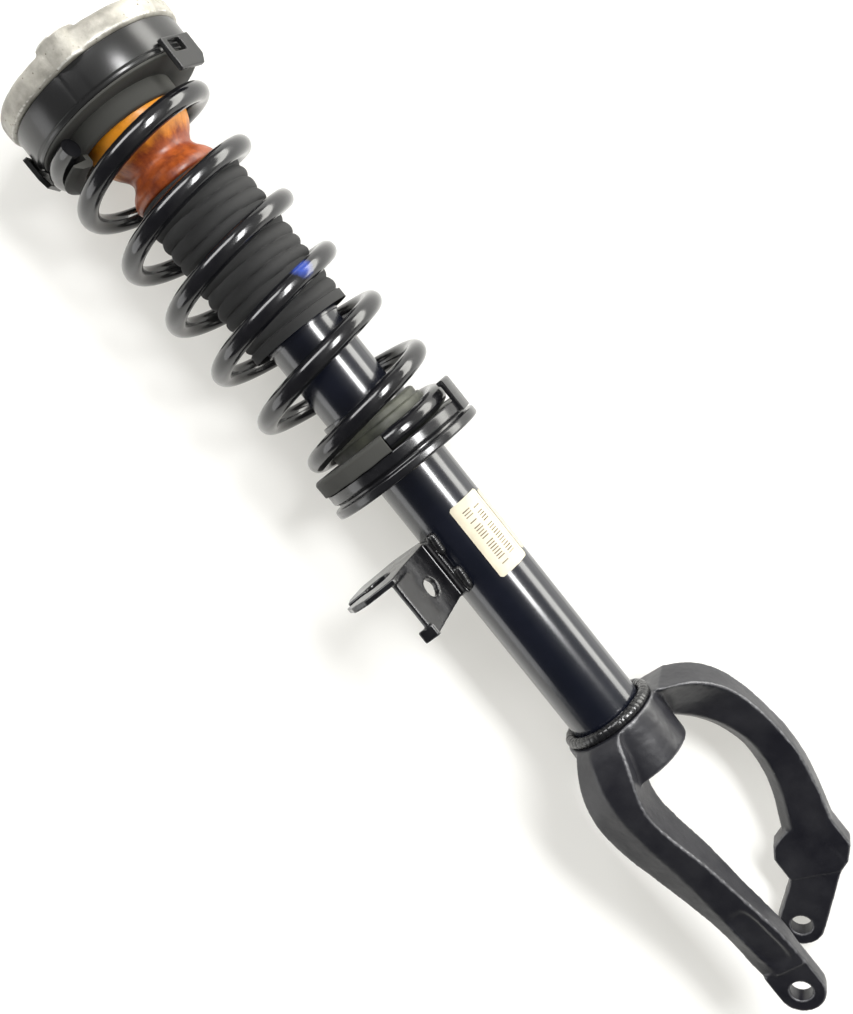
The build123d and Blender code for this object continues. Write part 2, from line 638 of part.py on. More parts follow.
# ------------------------------------------------------------------ bump stop and dust boot
STOP_BORE_R = 11.0
STOP_FOOT = 634.5
STOP_HEAD = 696.0
HEAD_PLUG_R = 29.6       # the part of the stop that sits in the mount's cup
with BuildPart() as bump:
    with BuildSketch(Plane(origin=(TOP_CENTRE[0], TOP_CENTRE[1], 0), x_dir=(1, 0, 0), z_dir=(0, -1, 0))):
        with BuildLine():
            Polyline((STOP_BORE_R, STOP_FOOT), (27.0, STOP_FOOT), (30.0, 636.5))
            Spline((30.0, 636.5), (28.8, 642.5), (22.2, 652.4), (25.6, 658.6), (30.0, 664.4),
                   (32.4, 669.5), (33.4, 676.0))
            Polyline((33.4, 676.0), (33.4, 681.0), (HEAD_PLUG_R, 684.0), (HEAD_PLUG_R, STOP_HEAD),
                     (STOP_BORE_R, STOP_HEAD), (STOP_BORE_R, STOP_FOOT))
        make_face()
    revolve(axis=Axis((TOP_CENTRE[0], TOP_CENTRE[1], 0), (0, 0, 1)))
save(bump, "bump_stop")

FOLD_START = BOOT_BOTTOM + 7.0
FOLD_END = BOOT_TOP - 9.0
BOOT_RING_DEPTH = 2.6
BOOT_RING_T = 2.4
with BuildPart() as boot_ring:
    with BuildSketch(Plane.XY.offset(FOLD_END)):
        Circle(BOOT_BORE_R)
        Circle(BOOT_BORE_R - BOOT_RING_DEPTH, mode=Mode.SUBTRACT)
    extrude(amount=BOOT_RING_T)
save(boot_ring, "boot_ring")

FOLD_PITCH = (FOLD_END - FOLD_START) / BOOT_FOLDS
outline = [(BOOT_BORE_R, BOOT_BOTTOM), (BOOT_VALLEY_R + 2, BOOT_BOTTOM),
           (BOOT_VALLEY_R + 2, FOLD_START - 2), (BOOT_VALLEY_R, FOLD_START)]
for fold in range(BOOT_FOLDS):
    base = FOLD_START + fold * FOLD_PITCH
    outline.append((BOOT_R, base + FOLD_PITCH * 0.35))
    outline.append((BOOT_R, base + FOLD_PITCH * 0.65))
    outline.append((BOOT_VALLEY_R, base + FOLD_PITCH))
outline += [(BOOT_VALLEY_R, FOLD_END + 2), (BOOT_BORE_R, FOLD_END + 2)]
with BuildPart() as boot:
    add(turned(outline))
save(boot, "dust_boot")

# ------------------------------------------------------------------ top mount
CUP_R = 34.0
CUP_BORE_R = 29.6
CUP_BOTTOM = 684.4
CUP_CEILING = 696.0
BUSH_R = 22.0
BUSH_BOTTOM = 702.0
BUSH_LIP = 4.0
SLEEVE_R = 10.0
with BuildPart() as housing:
    add(turned([(0, SEAT_TOP), (SEAT_R - 1, SEAT_TOP), (HOUSING_R, SEAT_TOP + 1.5), (HOUSING_R, HOUSING_TOP - 4),
                (HOUSING_R - 1.6, HOUSING_TOP - 1.4), (HOUSING_R - 4.5, HOUSING_TOP),
                (33.0, HOUSING_TOP), (30.0, LOBE_TOP), (0, LOBE_TOP)], centre=TOP_CENTRE))
    add(turned([(0, CUP_BOTTOM), (CUP_R, CUP_BOTTOM), (CUP_R, SEAT_TOP), (0, SEAT_TOP)], centre=TOP_CENTRE))
    # Three screw lobes.
    with BuildSketch(level(SEAT_TOP, TOP_CENTRE)):
        with PolarLocations(STUD_CIRCLE_R, LOBE_COUNT, start_angle=LOBE_BEARING):
            Circle(LOBE_R)
    extrude(amount=LOBE_TOP - SEAT_TOP)
    # Cup for the head of the bump stop, then the bush's bore with a lip under it.
    add(turned([(0, CUP_BOTTOM - 1), (CUP_BORE_R, CUP_BOTTOM - 1), (CUP_BORE_R, CUP_CEILING), (0, CUP_CEILING)],
               centre=TOP_CENTRE), mode=Mode.SUBTRACT)
    add(turned([(0, CUP_CEILING - 6), (BUSH_R - BUSH_LIP, CUP_CEILING - 6), (BUSH_R - BUSH_LIP, BUSH_BOTTOM),
                (BUSH_R, BUSH_BOTTOM), (BUSH_R, LOBE_TOP + 1), (0, LOBE_TOP + 1)]), mode=Mode.SUBTRACT)
    with BuildSketch(level(LOBE_TOP, TOP_CENTRE)):
        with PolarLocations(STUD_CIRCLE_R, LOBE_COUNT, start_angle=LOBE_BEARING):
            Circle(INSERT_R)
    extrude(amount=-INSERT_DEPTH, mode=Mode.SUBTRACT)
save(housing, "mount_housing")

with BuildPart() as inserts:
    with BuildSketch(level(LOBE_TOP, TOP_CENTRE)):
        with PolarLocations(STUD_CIRCLE_R, LOBE_COUNT, start_angle=LOBE_BEARING):
            Circle(INSERT_R)
            Circle(STUD_HOLE_R, mode=Mode.SUBTRACT)
    extrude(amount=-INSERT_DEPTH)
save(inserts, "thread_inserts")

with BuildPart() as bush:
    with BuildSketch(Plane.XZ):
        with BuildLine():
            Polyline((SLEEVE_R, 703.0), (BUSH_R, 702.0), (BUSH_R, 729.0), (19.0, 727.0), (13.0, 727.0),
                     (SLEEVE_R, 729.0), close=True)
        make_face()
    revolve(axis=Axis.Z)
save(bush, "mount_bush")


def washer(name, bottom, thickness, outer, inner):
    """Flat ring on the damper axis, saved as a piece of its own."""
    with BuildPart() as ring:
        with BuildSketch(Plane.XY.offset(bottom)):
            Circle(outer)
            Circle(inner, mode=Mode.SUBTRACT)
        extrude(amount=thickness)
    save(ring, name)


washer("lower_washer", ROD_SHOULDER, 3.0, 16.0, ROD_THREAD_R)
washer("bush_sleeve", ROD_SHOULDER + 3.0, 29.5, SLEEVE_R, ROD_THREAD_R)
washer("upper_washer", ROD_SHOULDER + 32.5, 2.5, 20.0, ROD_THREAD_R)

with BuildPart() as rod_nut:
    with BuildSketch(Plane.XY.offset(ROD_SHOULDER + 35.0)):
        RegularPolygon(radius=11.0, side_count=6)
        Circle(ROD_THREAD_R, mode=Mode.SUBTRACT)
    extrude(amount=9.0)
save(rod_nut, "rod_nut")

with BuildPart() as upper_seat:
    add(turned([(CUP_R, SEAT_BOTTOM), (SEAT_R - 1.5, SEAT_BOTTOM), (SEAT_R, SEAT_BOTTOM + 1.5),
                (SEAT_R, SEAT_TOP), (SEAT_R - 4, SEAT_TOP), (SEAT_R - 4, SEAT_TOP - 6), (CUP_R + 8, SEAT_TOP - 6),
                (CUP_R + 8, SEAT_TOP), (CUP_R, SEAT_TOP)], centre=TOP_CENTRE))
save(upper_seat, "upper_spring_seat")

FLANGE_R = 57.0
FLANGE_T = 1.6
HUB_R = 40.3
HUB_BOTTOM = 678.0
CUP_GAP = 0.1
with BuildPart() as upper_pad:
    add(turned([(CUP_R - 4, SEAT_BOTTOM - FLANGE_T), (FLANGE_R, SEAT_BOTTOM - FLANGE_T), (FLANGE_R, SEAT_BOTTOM),
                (CUP_R - 4, SEAT_BOTTOM)], centre=TOP_CENTRE))
    add(turned([(CUP_R - 4, HUB_BOTTOM), (HUB_R - 0.9, HUB_BOTTOM), (HUB_R, HUB_BOTTOM + 1), (HUB_R, 690.4),
                (CUP_R - 4, 690.4)], centre=PAD_CENTRE))
    # Lip that runs under the last coil on the side the spring leans to.
    add(turned([(36.5, 672.6), (39.0, 670.2), (46.0, 670.8), (51.0, 673.6), (51.0, 675.0), (40.0, 675.0),
                (40.0, 680.0), (36.5, 680.0)], centre=PAD_CENTRE, arc=67.0, start=-112.0))
    # Room for the cup and the head of the bump stop.
    add(turned([(0, 660.0), (CUP_R + CUP_GAP, 660.0), (CUP_R + CUP_GAP, 695.0), (0, 695.0)], centre=TOP_CENTRE),
        mode=Mode.SUBTRACT)
save(upper_pad, "upper_spring_pad")

CLIP_PLACES = ((55.0, 688.0), (-97.0, 695.0), (159.0, 692.0))
CLIP_T = 3.4
with BuildPart() as clips:
    for bearing, height in CLIP_PLACES:
        with BuildSketch(outward(bearing, SEAT_R + 0.1, height, TOP_CENTRE)):
            with BuildLine():
                Polyline((-14, -12), (9, -12), (14, -6), (14, 9), (-14, 9), close=True)
            make_face()
        extrude(amount=CLIP_T)
        with BuildSketch(outward(bearing, FLANGE_R, height, TOP_CENTRE)):
            with Locations((-3, 3)):
                Rectangle(12, 8)
        extrude(amount=CLIP_T + 5, mode=Mode.SUBTRACT)
save(clips, "seat_clips")
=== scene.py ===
"""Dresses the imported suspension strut: castings, paint, coil spring, rubber, foam and label.

Sizes in dataclass fields are millimetres and angles are degrees, unless a comment says otherwise. A bearing
is measured about the damper axis from the labelled side of the tube, anticlockwise seen from above. Finished
meshes are in metres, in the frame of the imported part.
"""

import logging
import math
from collections.abc import Callable
from dataclasses import dataclass
from enum import Enum

import bmesh
import bpy
import numpy as np
from mathutils import Matrix, Vector, noise

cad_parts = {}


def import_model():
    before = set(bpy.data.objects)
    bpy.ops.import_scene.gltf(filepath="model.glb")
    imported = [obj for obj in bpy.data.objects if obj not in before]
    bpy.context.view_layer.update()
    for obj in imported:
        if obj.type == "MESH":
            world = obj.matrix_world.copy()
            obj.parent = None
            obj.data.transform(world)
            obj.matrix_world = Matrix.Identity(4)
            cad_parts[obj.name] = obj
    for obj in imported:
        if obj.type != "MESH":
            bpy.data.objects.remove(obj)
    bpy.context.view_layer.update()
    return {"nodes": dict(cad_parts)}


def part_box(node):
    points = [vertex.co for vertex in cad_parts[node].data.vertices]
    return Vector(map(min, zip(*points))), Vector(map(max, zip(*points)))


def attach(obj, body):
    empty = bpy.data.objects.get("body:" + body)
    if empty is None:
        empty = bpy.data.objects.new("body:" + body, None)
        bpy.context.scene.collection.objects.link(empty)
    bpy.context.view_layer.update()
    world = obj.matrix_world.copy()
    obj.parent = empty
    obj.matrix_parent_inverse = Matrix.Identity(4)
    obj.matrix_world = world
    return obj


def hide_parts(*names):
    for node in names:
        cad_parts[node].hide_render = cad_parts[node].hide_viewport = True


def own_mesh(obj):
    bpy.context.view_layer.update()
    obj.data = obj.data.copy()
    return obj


LOG = logging.getLogger("strut")
MM = 0.001
LABEL_SIDE = -66.0       # direction of bearing 0, from +X
EDGE_SHARE = 0.45        # a rounding takes no more than this share of an edge
THREAD_STEPS = 32.0      # stations in each turn of a thread
SPRING_STEPS = 60        # stations in each turn of the spring

Colour = tuple[float, float, float]
Point2 = tuple[float, float]


class Body(Enum):
    """The rigid bodies that the new pieces ride on."""

    DAMPER = "damper_body"
    MOUNT = "rod_and_mount"


class Slot(Enum):
    """The record's material slots."""

    FORK = "forged_fork"
    TUBE = "painted_tube"
    SHEET = "painted_sheet"
    SPRING = "coated_spring"
    SEAT_RUBBER = "seat_rubber"
    BOOT = "boot_rubber"
    FOAM = "bump_foam"
    ALUMINIUM = "cast_aluminium"
    PLASTIC = "seat_plastic"
    STEEL = "bright_steel"
    CHROME = "chromed_rod"
    PAPER = "label_paper"


def on_bearing(bearing: float, radius: float, height: float, centre: Point2 = (0.0, 0.0)) -> Vector:
    """Find a point from its bearing.

    Args:
        bearing: Bearing in degrees.
        radius: Distance from the centre line in millimetres.
        height: Height in millimetres.
        centre: Where the centre line stands, in millimetres.

    Returns:
        The point in metres.
    """
    angle = math.radians(LABEL_SIDE + bearing)
    return Vector((centre[0] + radius * math.cos(angle), centre[1] + radius * math.sin(angle), height)) * MM


def sideways(shift: float) -> Point2:
    """Return the centre, in millimetres, that is moved by shift to the side the spring leans to."""
    moved = on_bearing(-90.0, shift, 0.0) / MM
    return (moved.x, moved.y)


# -------------------------------------------------------------------------------- node trees
class Wire:
    """An output in a node tree that can be added, scaled and raised like a number."""

    def __init__(self, board: "Board", socket: bpy.types.NodeSocket) -> None:
        """Keep the socket and the board it belongs to."""
        self.board = board
        self.socket = socket

    def __add__(self, other: "Wire | float") -> "Wire":
        """Return the sum."""
        return self.board.math("ADD", self, other)

    def __radd__(self, other: float) -> "Wire":
        """Return the sum."""
        return self.board.math("ADD", other, self)

    def __sub__(self, other: "Wire | float") -> "Wire":
        """Return the difference."""
        return self.board.math("SUBTRACT", self, other)

    def __rsub__(self, other: float) -> "Wire":
        """Return the difference."""
        return self.board.math("SUBTRACT", other, self)

    def __mul__(self, other: "Wire | float") -> "Wire":
        """Return the product."""
        return self.board.math("MULTIPLY", self, other)

    def __rmul__(self, other: float) -> "Wire":
        """Return the product."""
        return self.board.math("MULTIPLY", other, self)

    def __truediv__(self, other: "Wire | float") -> "Wire":
        """Return the quotient."""
        return self.board.math("DIVIDE", self, other)

    def __pow__(self, other: float) -> "Wire":
        """Return the power."""
        return self.board.math("POWER", self, other)


class Board:
    """Adds nodes to one shader or geometry tree and wires them together."""

    def __init__(self, tree: bpy.types.NodeTree) -> None:
        """Keep the tree."""
        self.tree = tree

    def node(self, kind: str, **settings: object) -> bpy.types.Node:
        """Add a node.

        Args:
            kind: Blender's name for the node type.
            **settings: Properties to set on it.

        Returns:
            The new node.
        """
        made = self.tree.nodes.new(kind)
        for name, value in settings.items():
            setattr(made, name, value)
        return made

    def feed(self, socket: bpy.types.NodeSocket, value: object) -> None:
        """Link a wire to a socket, or set a plain value on it.

        Args:
            socket: The input to feed.
            value: A wire, a plain value, or None to leave it alone.
        """
        if isinstance(value, Wire):
            self.tree.links.new(value.socket, socket)
        elif value is not None:
            socket.default_value = value

    def call(self, kind: str, inputs: dict, output: int | str = 0, **settings: object) -> Wire:
        """Add a node, feed its inputs and return one output.

        Args:
            kind: Blender's name for the node type.
            inputs: Value or wire for each input, by its name or number.
            output: Name or number of the output to return.
            **settings: Properties to set on the node.

        Returns:
            The chosen output.
        """
        made = self.node(kind, **settings)
        for key, value in inputs.items():
            self.feed(made.inputs[key], value)
        return Wire(self, made.outputs[output])

    def math(self, operation: str, first: Wire | float, second: Wire | float | None = None) -> Wire:
        """Return the result of one Math node."""
        return self.call("ShaderNodeMath", {0: first, 1: second}, operation=operation)

    def remap(self, value: Wire, low: float, high: float, to_low: float = 0.0, to_high: float = 1.0,
              soft: bool = False) -> Wire:
        """Map a range onto another and clamp it.

        Args:
            value: What to map.
            low: Start of its range.
            high: End of its range.
            to_low: Result at the start.
            to_high: Result at the end.
            soft: True for an S-shaped change.

        Returns:
            The mapped value.
        """
        inputs = {"Value": value, "From Min": low, "From Max": high, "To Min": to_low, "To Max": to_high}
        style = "SMOOTHSTEP" if soft else "LINEAR"
        return self.call("ShaderNodeMapRange", inputs, interpolation_type=style)

    def vector(self, x: Wire | float, y: Wire | float, z: Wire | float) -> Wire:
        """Return a vector made of three numbers."""
        return self.call("ShaderNodeCombineXYZ", {0: x, 1: y, 2: z})

    def parts(self, vector: Wire) -> tuple[Wire, Wire, Wire]:
        """Return the three numbers of a vector.

        Args:
            vector: The vector.

        Returns:
            Its x, y and z.
        """
        made = self.node("ShaderNodeSeparateXYZ")
        self.feed(made.inputs[0], vector)
        return (Wire(self, made.outputs[0]), Wire(self, made.outputs[1]), Wire(self, made.outputs[2]))

    def speckle(self, place: Wire, cell: float, detail: float = 3.0, roughness: float = 0.5) -> Wire:
        """Return noise from 0 to 1.

        Args:
            place: Position in metres.
            cell: Size of the noise in millimetres.
            detail: Number of finer layers.
            roughness: Strength of the finer layers.

        Returns:
            The noise value.
        """
        inputs = {"Vector": place, "Scale": 1.0 / (cell * MM), "Detail": detail, "Roughness": roughness}
        return self.call("ShaderNodeTexNoise", inputs)

    def blend(self, share: Wire | float, low: Wire | Colour, high: Wire | Colour) -> Wire:
        """Return the colour between low and high."""
        ends = [end if isinstance(end, Wire) else (*end, 1.0) for end in (low, high)]
        return self.call("ShaderNodeMix", {0: share, 6: ends[0], 7: ends[1]}, 2, data_type="RGBA")


class Recipe(Board):
    """A Geometry Nodes tree with named sizes, run once and kept as a plain mesh."""

    def __init__(self, title: str) -> None:
        """Start an empty tree.

        Args:
            title: Name of the tree.
        """
        tree = bpy.data.node_groups.new(title, "GeometryNodeTree")
        super().__init__(tree)
        tree.interface.new_socket("Geometry", in_out="INPUT", socket_type="NodeSocketGeometry")
        tree.interface.new_socket("Geometry", in_out="OUTPUT", socket_type="NodeSocketGeometry")
        self.entry = self.node("NodeGroupInput")
        self.values: dict[str, float | int] = {}

    def size(self, label: str, value: float | int) -> Wire:
        """Add a named input.

        Args:
            label: The input's name.
            value: Its value, a whole number for a count or a seed.

        Returns:
            The input as a wire.
        """
        kind = "NodeSocketInt" if isinstance(value, int) else "NodeSocketFloat"
        socket = self.tree.interface.new_socket(label, in_out="INPUT", socket_type=kind)
        self.values[socket.identifier] = value
        return Wire(self, self.entry.outputs[label])

    def path(self, count: Wire | int, position: Callable[[Wire], Wire]) -> Wire:
        """Lay an open curve by a rule.

        Args:
            count: Number of points.
            position: Gives a point from the share of the way along, from 0 to 1.

        Returns:
            The curve.
        """
        line = self.call("GeometryNodeCurvePrimitiveLine", {})
        spaced = self.call("GeometryNodeResampleCurve", {"Curve": line, "Count": count}, mode="COUNT")
        share = self.call("GeometryNodeSplineParameter", {}, "Factor")
        return self.call("GeometryNodeSetPosition", {"Geometry": spaced, "Position": position(share)})

    def swept(self, path: Wire, radius: Wire, sides: int) -> Wire:
        """Return a round, closed bar along a path."""
        ring = self.call("GeometryNodeCurvePrimitiveCircle", {"Resolution": sides, "Radius": radius})
        return self.call("GeometryNodeCurveToMesh", {"Curve": path, "Profile Curve": ring, "Fill Caps": True})

    def joined(self, *parts: Wire) -> Wire:
        """Return several geometries as one.

        Args:
            *parts: The geometries.

        Returns:
            All of them as one geometry.
        """
        made = self.node("GeometryNodeJoinGeometry")
        for part in parts:
            self.tree.links.new(part.socket, made.inputs[0])
        return Wire(self, made.outputs[0])

    def run(self, name: str, geometry: Wire, finish: "Finish") -> bpy.types.Object:
        """Run the tree and keep its result.

        Args:
            name: Name of the new piece.
            geometry: What the tree makes.
            finish: The piece's finish.

        Returns:
            A mesh object with no modifier left on it.
        """
        real = self.call("GeometryNodeRealizeInstances", {"Geometry": geometry})
        material = finish.material()
        dressed = self.call("GeometryNodeSetMaterial", {"Geometry": real, "Material": material})
        self.feed(self.node("NodeGroupOutput").inputs[0], dressed)
        host = bpy.data.objects.new(name, bpy.data.meshes.new(name))
        bpy.context.scene.collection.objects.link(host)
        modifier = host.modifiers.new(self.tree.name, "NODES")
        modifier.node_group = self.tree
        for identifier, value in self.values.items():
            modifier[identifier] = value
        graph = bpy.context.evaluated_depsgraph_get()
        mesh = bpy.data.meshes.new_from_object(host.evaluated_get(graph), depsgraph=graph)
        host.modifiers.remove(modifier)
        host.data = mesh
        return finished(host, finish)


# -------------------------------------------------------------------------------- finishes
@dataclass(frozen=True)
class Finish:
    """A surface whose colour drifts between two shades, with uneven gloss and a fine grain."""

    title: str
    dark: Colour
    light: Colour
    gloss_range: Point2              # roughness where it is smoothest and roughest
    patch: float = 18.0              # size of the colour patches
    grain: float = 1.0               # size of the grain
    relief: float = 0.02             # height of the grain
    metallic: float = 0.0
    specular: float = 0.5
    coat: float = 0.0
    coat_roughness: float = 0.05
    sheen: float = 0.0

    def material(self) -> bpy.types.Material:
        """Return the material, built the first time it is asked for."""
        known = bpy.data.materials.get(self.title)
        return known if known is not None else self.build()

    def build(self) -> bpy.types.Material:
        """Build the node tree.

        Returns:
            The new material.
        """
        made = bpy.data.materials.new(self.title)
        made.use_nodes = True
        made.node_tree.nodes.clear()
        board = Board(made.node_tree)
        surface = board.node("ShaderNodeBsdfPrincipled")
        output = board.node("ShaderNodeOutputMaterial")
        made.node_tree.links.new(surface.outputs[0], output.inputs["Surface"])
        place = board.call("ShaderNodeTexCoord", {}, "Object")
        board.feed(surface.inputs["Base Color"], self.colour(board, place))
        board.feed(surface.inputs["Roughness"], self.gloss(board, place))
        height = self.height(board, place)
        bump = board.call("ShaderNodeBump", {"Strength": 1.0, "Distance": self.relief * MM, "Height": height})
        board.feed(surface.inputs["Normal"], bump)
        surface.inputs["Metallic"].default_value = self.metallic
        surface.inputs["Specular IOR Level"].default_value = self.specular
        surface.inputs["Coat Weight"].default_value = self.coat
        surface.inputs["Coat Roughness"].default_value = self.coat_roughness
        surface.inputs["Sheen Weight"].default_value = self.sheen
        return made

    def colour(self, board: Board, place: Wire) -> Wire:
        """Return the colour at a place."""
        drift = board.remap(board.speckle(place, self.patch, 5.0, 0.6), 0.35, 0.68)
        return board.blend(drift, self.dark, self.light)

    def gloss(self, board: Board, place: Wire) -> Wire:
        """Return the roughness at a place."""
        return board.remap(board.speckle(place, self.patch * 0.6, 4.0), 0.3, 0.7, *self.gloss_range)

    def height(self, board: Board, place: Wire) -> Wire:
        """Return the height of the grain at a place."""
        return board.speckle(place, self.grain, 3.0, 0.6)


@dataclass(frozen=True)
class WornFinish(Finish):
    """A finish that is rubbed lighter along its outward edges."""

    worn: Colour = (0.2, 0.2, 0.2)
    wear_from: float = 0.45          # edge sharpness at which the wear starts
    wear_to: float = 0.9

    def colour(self, board: Board, place: Wire) -> Wire:
        """Return the colour at a place, with worn edges.

        Args:
            board: The material's board.
            place: Position in metres.

        Returns:
            The colour.
        """
        edge = board.call("ShaderNodeAttribute", {}, "Fac", attribute_name="wear")
        broken = edge + (board.speckle(place, 4.0, 5.0, 0.7) - 0.5) * 0.5
        rubbed = board.remap(broken, self.wear_from, self.wear_to, soft=True)
        return board.blend(rubbed, super().colour(board, place), self.worn)


@dataclass(frozen=True)
class SandCast(WornFinish):
    """A worn finish with the pits and lumps of a casting."""

    pit: float = 2.4                 # distance between pits
    pit_colour: Colour = (0.1, 0.08, 0.06)
    pit_share: float = 0.5

    def pits(self, board: Board, place: Wire) -> Wire:
        """Return 1 in the middle of a pit and 0 outside.

        Args:
            board: The material's board.
            place: Position in metres.

        Returns:
            How far inside a pit the place is, from 0 to 1.
        """
        inputs = {"Vector": place, "Scale": 1.0 / (self.pit * MM), "Randomness": 1.0}
        distance = board.call("ShaderNodeTexVoronoi", inputs, "Distance")
        chosen = board.remap(board.speckle(place, self.pit * 5.0, 2.0), 0.5, 0.62)
        return board.remap(distance, 0.06, 0.24, 1.0, 0.0, soft=True) * chosen

    def colour(self, board: Board, place: Wire) -> Wire:
        """Return the colour at a place, with dirt in the pits."""
        pitted = self.pits(board, place) * self.pit_share
        return board.blend(pitted, super().colour(board, place), self.pit_colour)

    def height(self, board: Board, place: Wire) -> Wire:
        """Return the height of the cast skin at a place."""
        skin = board.speckle(place, self.grain, 3.0, 0.6) + board.speckle(place, self.grain * 5.0, 2.0) * 1.6
        return skin - self.pits(board, place) * 2.0


@dataclass(frozen=True)
class DottedPaint(Finish):
    """A paint with one daub of marking colour."""

    daub: Colour = (0.02, 0.045, 0.24)
    daub_at: tuple[float, float, float] = (0.0, 0.0, 0.0)   # metres
    daub_radius: float = 8.0

    def colour(self, board: Board, place: Wire) -> Wire:
        """Return the colour at a place, with the daub.

        Args:
            board: The material's board.
            place: Position in metres.

        Returns:
            The colour.
        """
        ends = {0: place, 1: self.daub_at}
        distance = board.call("ShaderNodeVectorMath", ends, "Value", operation="DISTANCE")
        ragged = distance + (board.speckle(place, 2.5, 3.0) - 0.5) * (3.0 * MM)
        share = board.remap(ragged, self.daub_radius * MM, self.daub_radius * 0.45 * MM, 0.0, 0.85)
        return board.blend(share, super().colour(board, place), self.daub)


@dataclass(frozen=True)
class CellularFoam(Finish):
    """Moulded foam with a fine skin and darker flow marks, painted brighter towards its upper end as painted
    light, with its lower end left darker as painted shade.
    """

    deep: Colour = (0.08, 0.01, 0.004)
    # painted light: this bright orange stands in for the light on the upper end, rising from waist_height to
    # full at head_height
    painted_light_tone: Colour = (0.72, 0.27, 0.014)
    waist_height: float = 656.0
    head_height: float = 668.0

    def colour(self, board: Board, place: Wire) -> Wire:
        """Return the colour at a place.

        Args:
            board: The material's board.
            place: Position in metres.

        Returns:
            The colour.
        """
        stretched = board.call("ShaderNodeMapping", {"Vector": place, "Scale": (1.0, 1.0, 0.4)})
        flow = board.speckle(stretched, 12.0, 5.0, 0.65)
        body = board.blend(board.remap(flow, 0.36, 0.68), self.dark, self.light)
        stain = board.remap(board.speckle(place, 8.0, 4.0, 0.7), 0.46, 0.68)
        body = board.blend(stain * 0.7, body, self.deep)
        height = board.parts(place)[2] + (flow - 0.5) * (14.0 * MM)
        # Painted light: the upper end is blended towards the bright tone, and the lower part stays darker as
        # painted shade.
        head = board.remap(height, self.waist_height * MM, self.head_height * MM, soft=True)
        return board.blend(head * (1.0 - stain * 0.3), body, self.painted_light_tone)

    def height(self, board: Board, place: Wire) -> Wire:
        """Return the height of the skin and its open cells at a place.

        Args:
            board: The material's board.
            place: Position in metres.

        Returns:
            The height, in units of the relief.
        """
        inputs = {"Vector": place, "Scale": 1.0 / (self.grain * MM), "Randomness": 1.0}
        cell = board.call("ShaderNodeTexVoronoi", inputs, "Distance")
        return board.remap(cell, 0.0, 0.5) + board.speckle(place, self.grain * 6.0, 2.0)


@dataclass(frozen=True)
class TurnedMetal(Finish):
    """Metal with the fine rings that a lathe leaves."""

    ring: float = 0.5                # distance between rings

    def height(self, board: Board, place: Wire) -> Wire:
        """Return the height of the tool rings at a place.

        Args:
            board: The material's board.
            place: Position in metres.

        Returns:
            The height, in units of the relief.
        """
        x, y, z = board.parts(place)
        out = board.math("SQRT", x * x + y * y)
        rings = board.math("SINE", (out + z) * (2.0 * math.pi / (self.ring * MM)))
        return rings * 0.4 + board.speckle(place, self.grain, 2.0)


@dataclass(frozen=True)
class PrintedFilm(Finish):
    """A cream film printed with plain bars in two columns, which spell nothing."""

    ink: Colour = (0.04, 0.022, 0.012)
    rows: float = 27.0
    columns: tuple[Point2, Point2] = ((0.22, 0.46), (0.54, 0.76))
    rule_at: float = 0.90            # place of the thin upright line across the film
    foot: Point2 = (0.1, 0.06)       # share of the height where the first column starts, and each one's step
    head: Point2 = (0.9, 0.05)       # share where the first column ends, and each one's step
    fade: float = 0.01

    def colour(self, board: Board, place: Wire) -> Wire:
        """Return the colour at a place, with the printed bars.

        Args:
            board: The material's board.
            place: Position in metres.

        Returns:
            The colour.
        """
        across, up, _ = board.parts(board.call("ShaderNodeUVMap", {}, uv_map="film"))
        ink = board.remap(board.math("ABSOLUTE", across - self.rule_at), 0.006, 0.003) * 0.8
        for number, (left, right) in enumerate(self.columns):
            row = board.math("FLOOR", up * self.rows)
            seed = {"W": row + 17.0 * number}
            random_row = board.call("ShaderNodeTexWhiteNoise", seed, noise_dimensions="1D")
            foot = self.foot[0] + self.foot[1] * number
            head = self.head[0] - self.head[1] * number
            printed = board.remap(random_row, 0.12, 0.2) * board.remap(up, foot, foot + self.fade)
            printed = printed * board.remap(up, head, head - self.fade)
            line = board.remap(board.math("ABSOLUTE", board.math("FRACT", up * self.rows) - 0.5), 0.24, 0.16)
            reach = right - random_row * 0.05
            inside = board.math("GREATER_THAN", across, left) * board.math("LESS_THAN", across, reach)
            ink = board.math("MAXIMUM", ink, printed * line * inside)
        faded = ink * board.remap(board.speckle(place, 6.0, 4.0), 0.2, 0.7, 0.6, 1.0)
        return board.blend(faded, super().colour(board, place), self.ink)


BLACK_CASTING = WornFinish("forged_black", (0.005, 0.005, 0.008), (0.016, 0.016, 0.019), (0.28, 0.42),
                           patch=26.0, grain=0.9, relief=0.06, specular=0.55, worn=(0.085, 0.085, 0.09),
                           wear_from=0.5, wear_to=1.2)
TUBE_PAINT = Finish("tube_gloss", (0.002, 0.003, 0.007), (0.004, 0.005, 0.010), (0.19, 0.25), patch=30.0,
                    grain=1.6, relief=0.0025, specular=0.5, coat=0.5, coat_roughness=0.1)
SHEET_PAINT = WornFinish("sheet_paint", (0.003, 0.003, 0.004), (0.008, 0.008, 0.009), (0.18, 0.3), patch=14.0,
                         grain=1.1, relief=0.016, coat=0.3, coat_roughness=0.1, worn=(0.05, 0.05, 0.05),
                         wear_from=0.7, wear_to=1.3)
WELD_PAINT = Finish("weld_paint", (0.003, 0.003, 0.004), (0.01, 0.01, 0.01), (0.2, 0.36), patch=3.0,
                    grain=0.7, relief=0.03, coat=0.2)
SEAT_RUBBER = Finish("seat_rubber", (0.002, 0.002, 0.002), (0.006, 0.006, 0.005), (0.45, 0.65), patch=11.0,
                     grain=0.6, relief=0.03, specular=0.08)
HUB_RUBBER = Finish("hub_rubber", (0.022, 0.023, 0.017), (0.06, 0.062, 0.045), (0.45, 0.65), patch=13.0,
                    grain=0.6, relief=0.03, specular=0.4, sheen=0.05)
BOOT_RUBBER = Finish("boot_rubber", (0.002, 0.002, 0.002), (0.012, 0.012, 0.0095), (0.26, 0.44), patch=9.0,
                     grain=0.5, relief=0.03, specular=0.22, sheen=0.01)
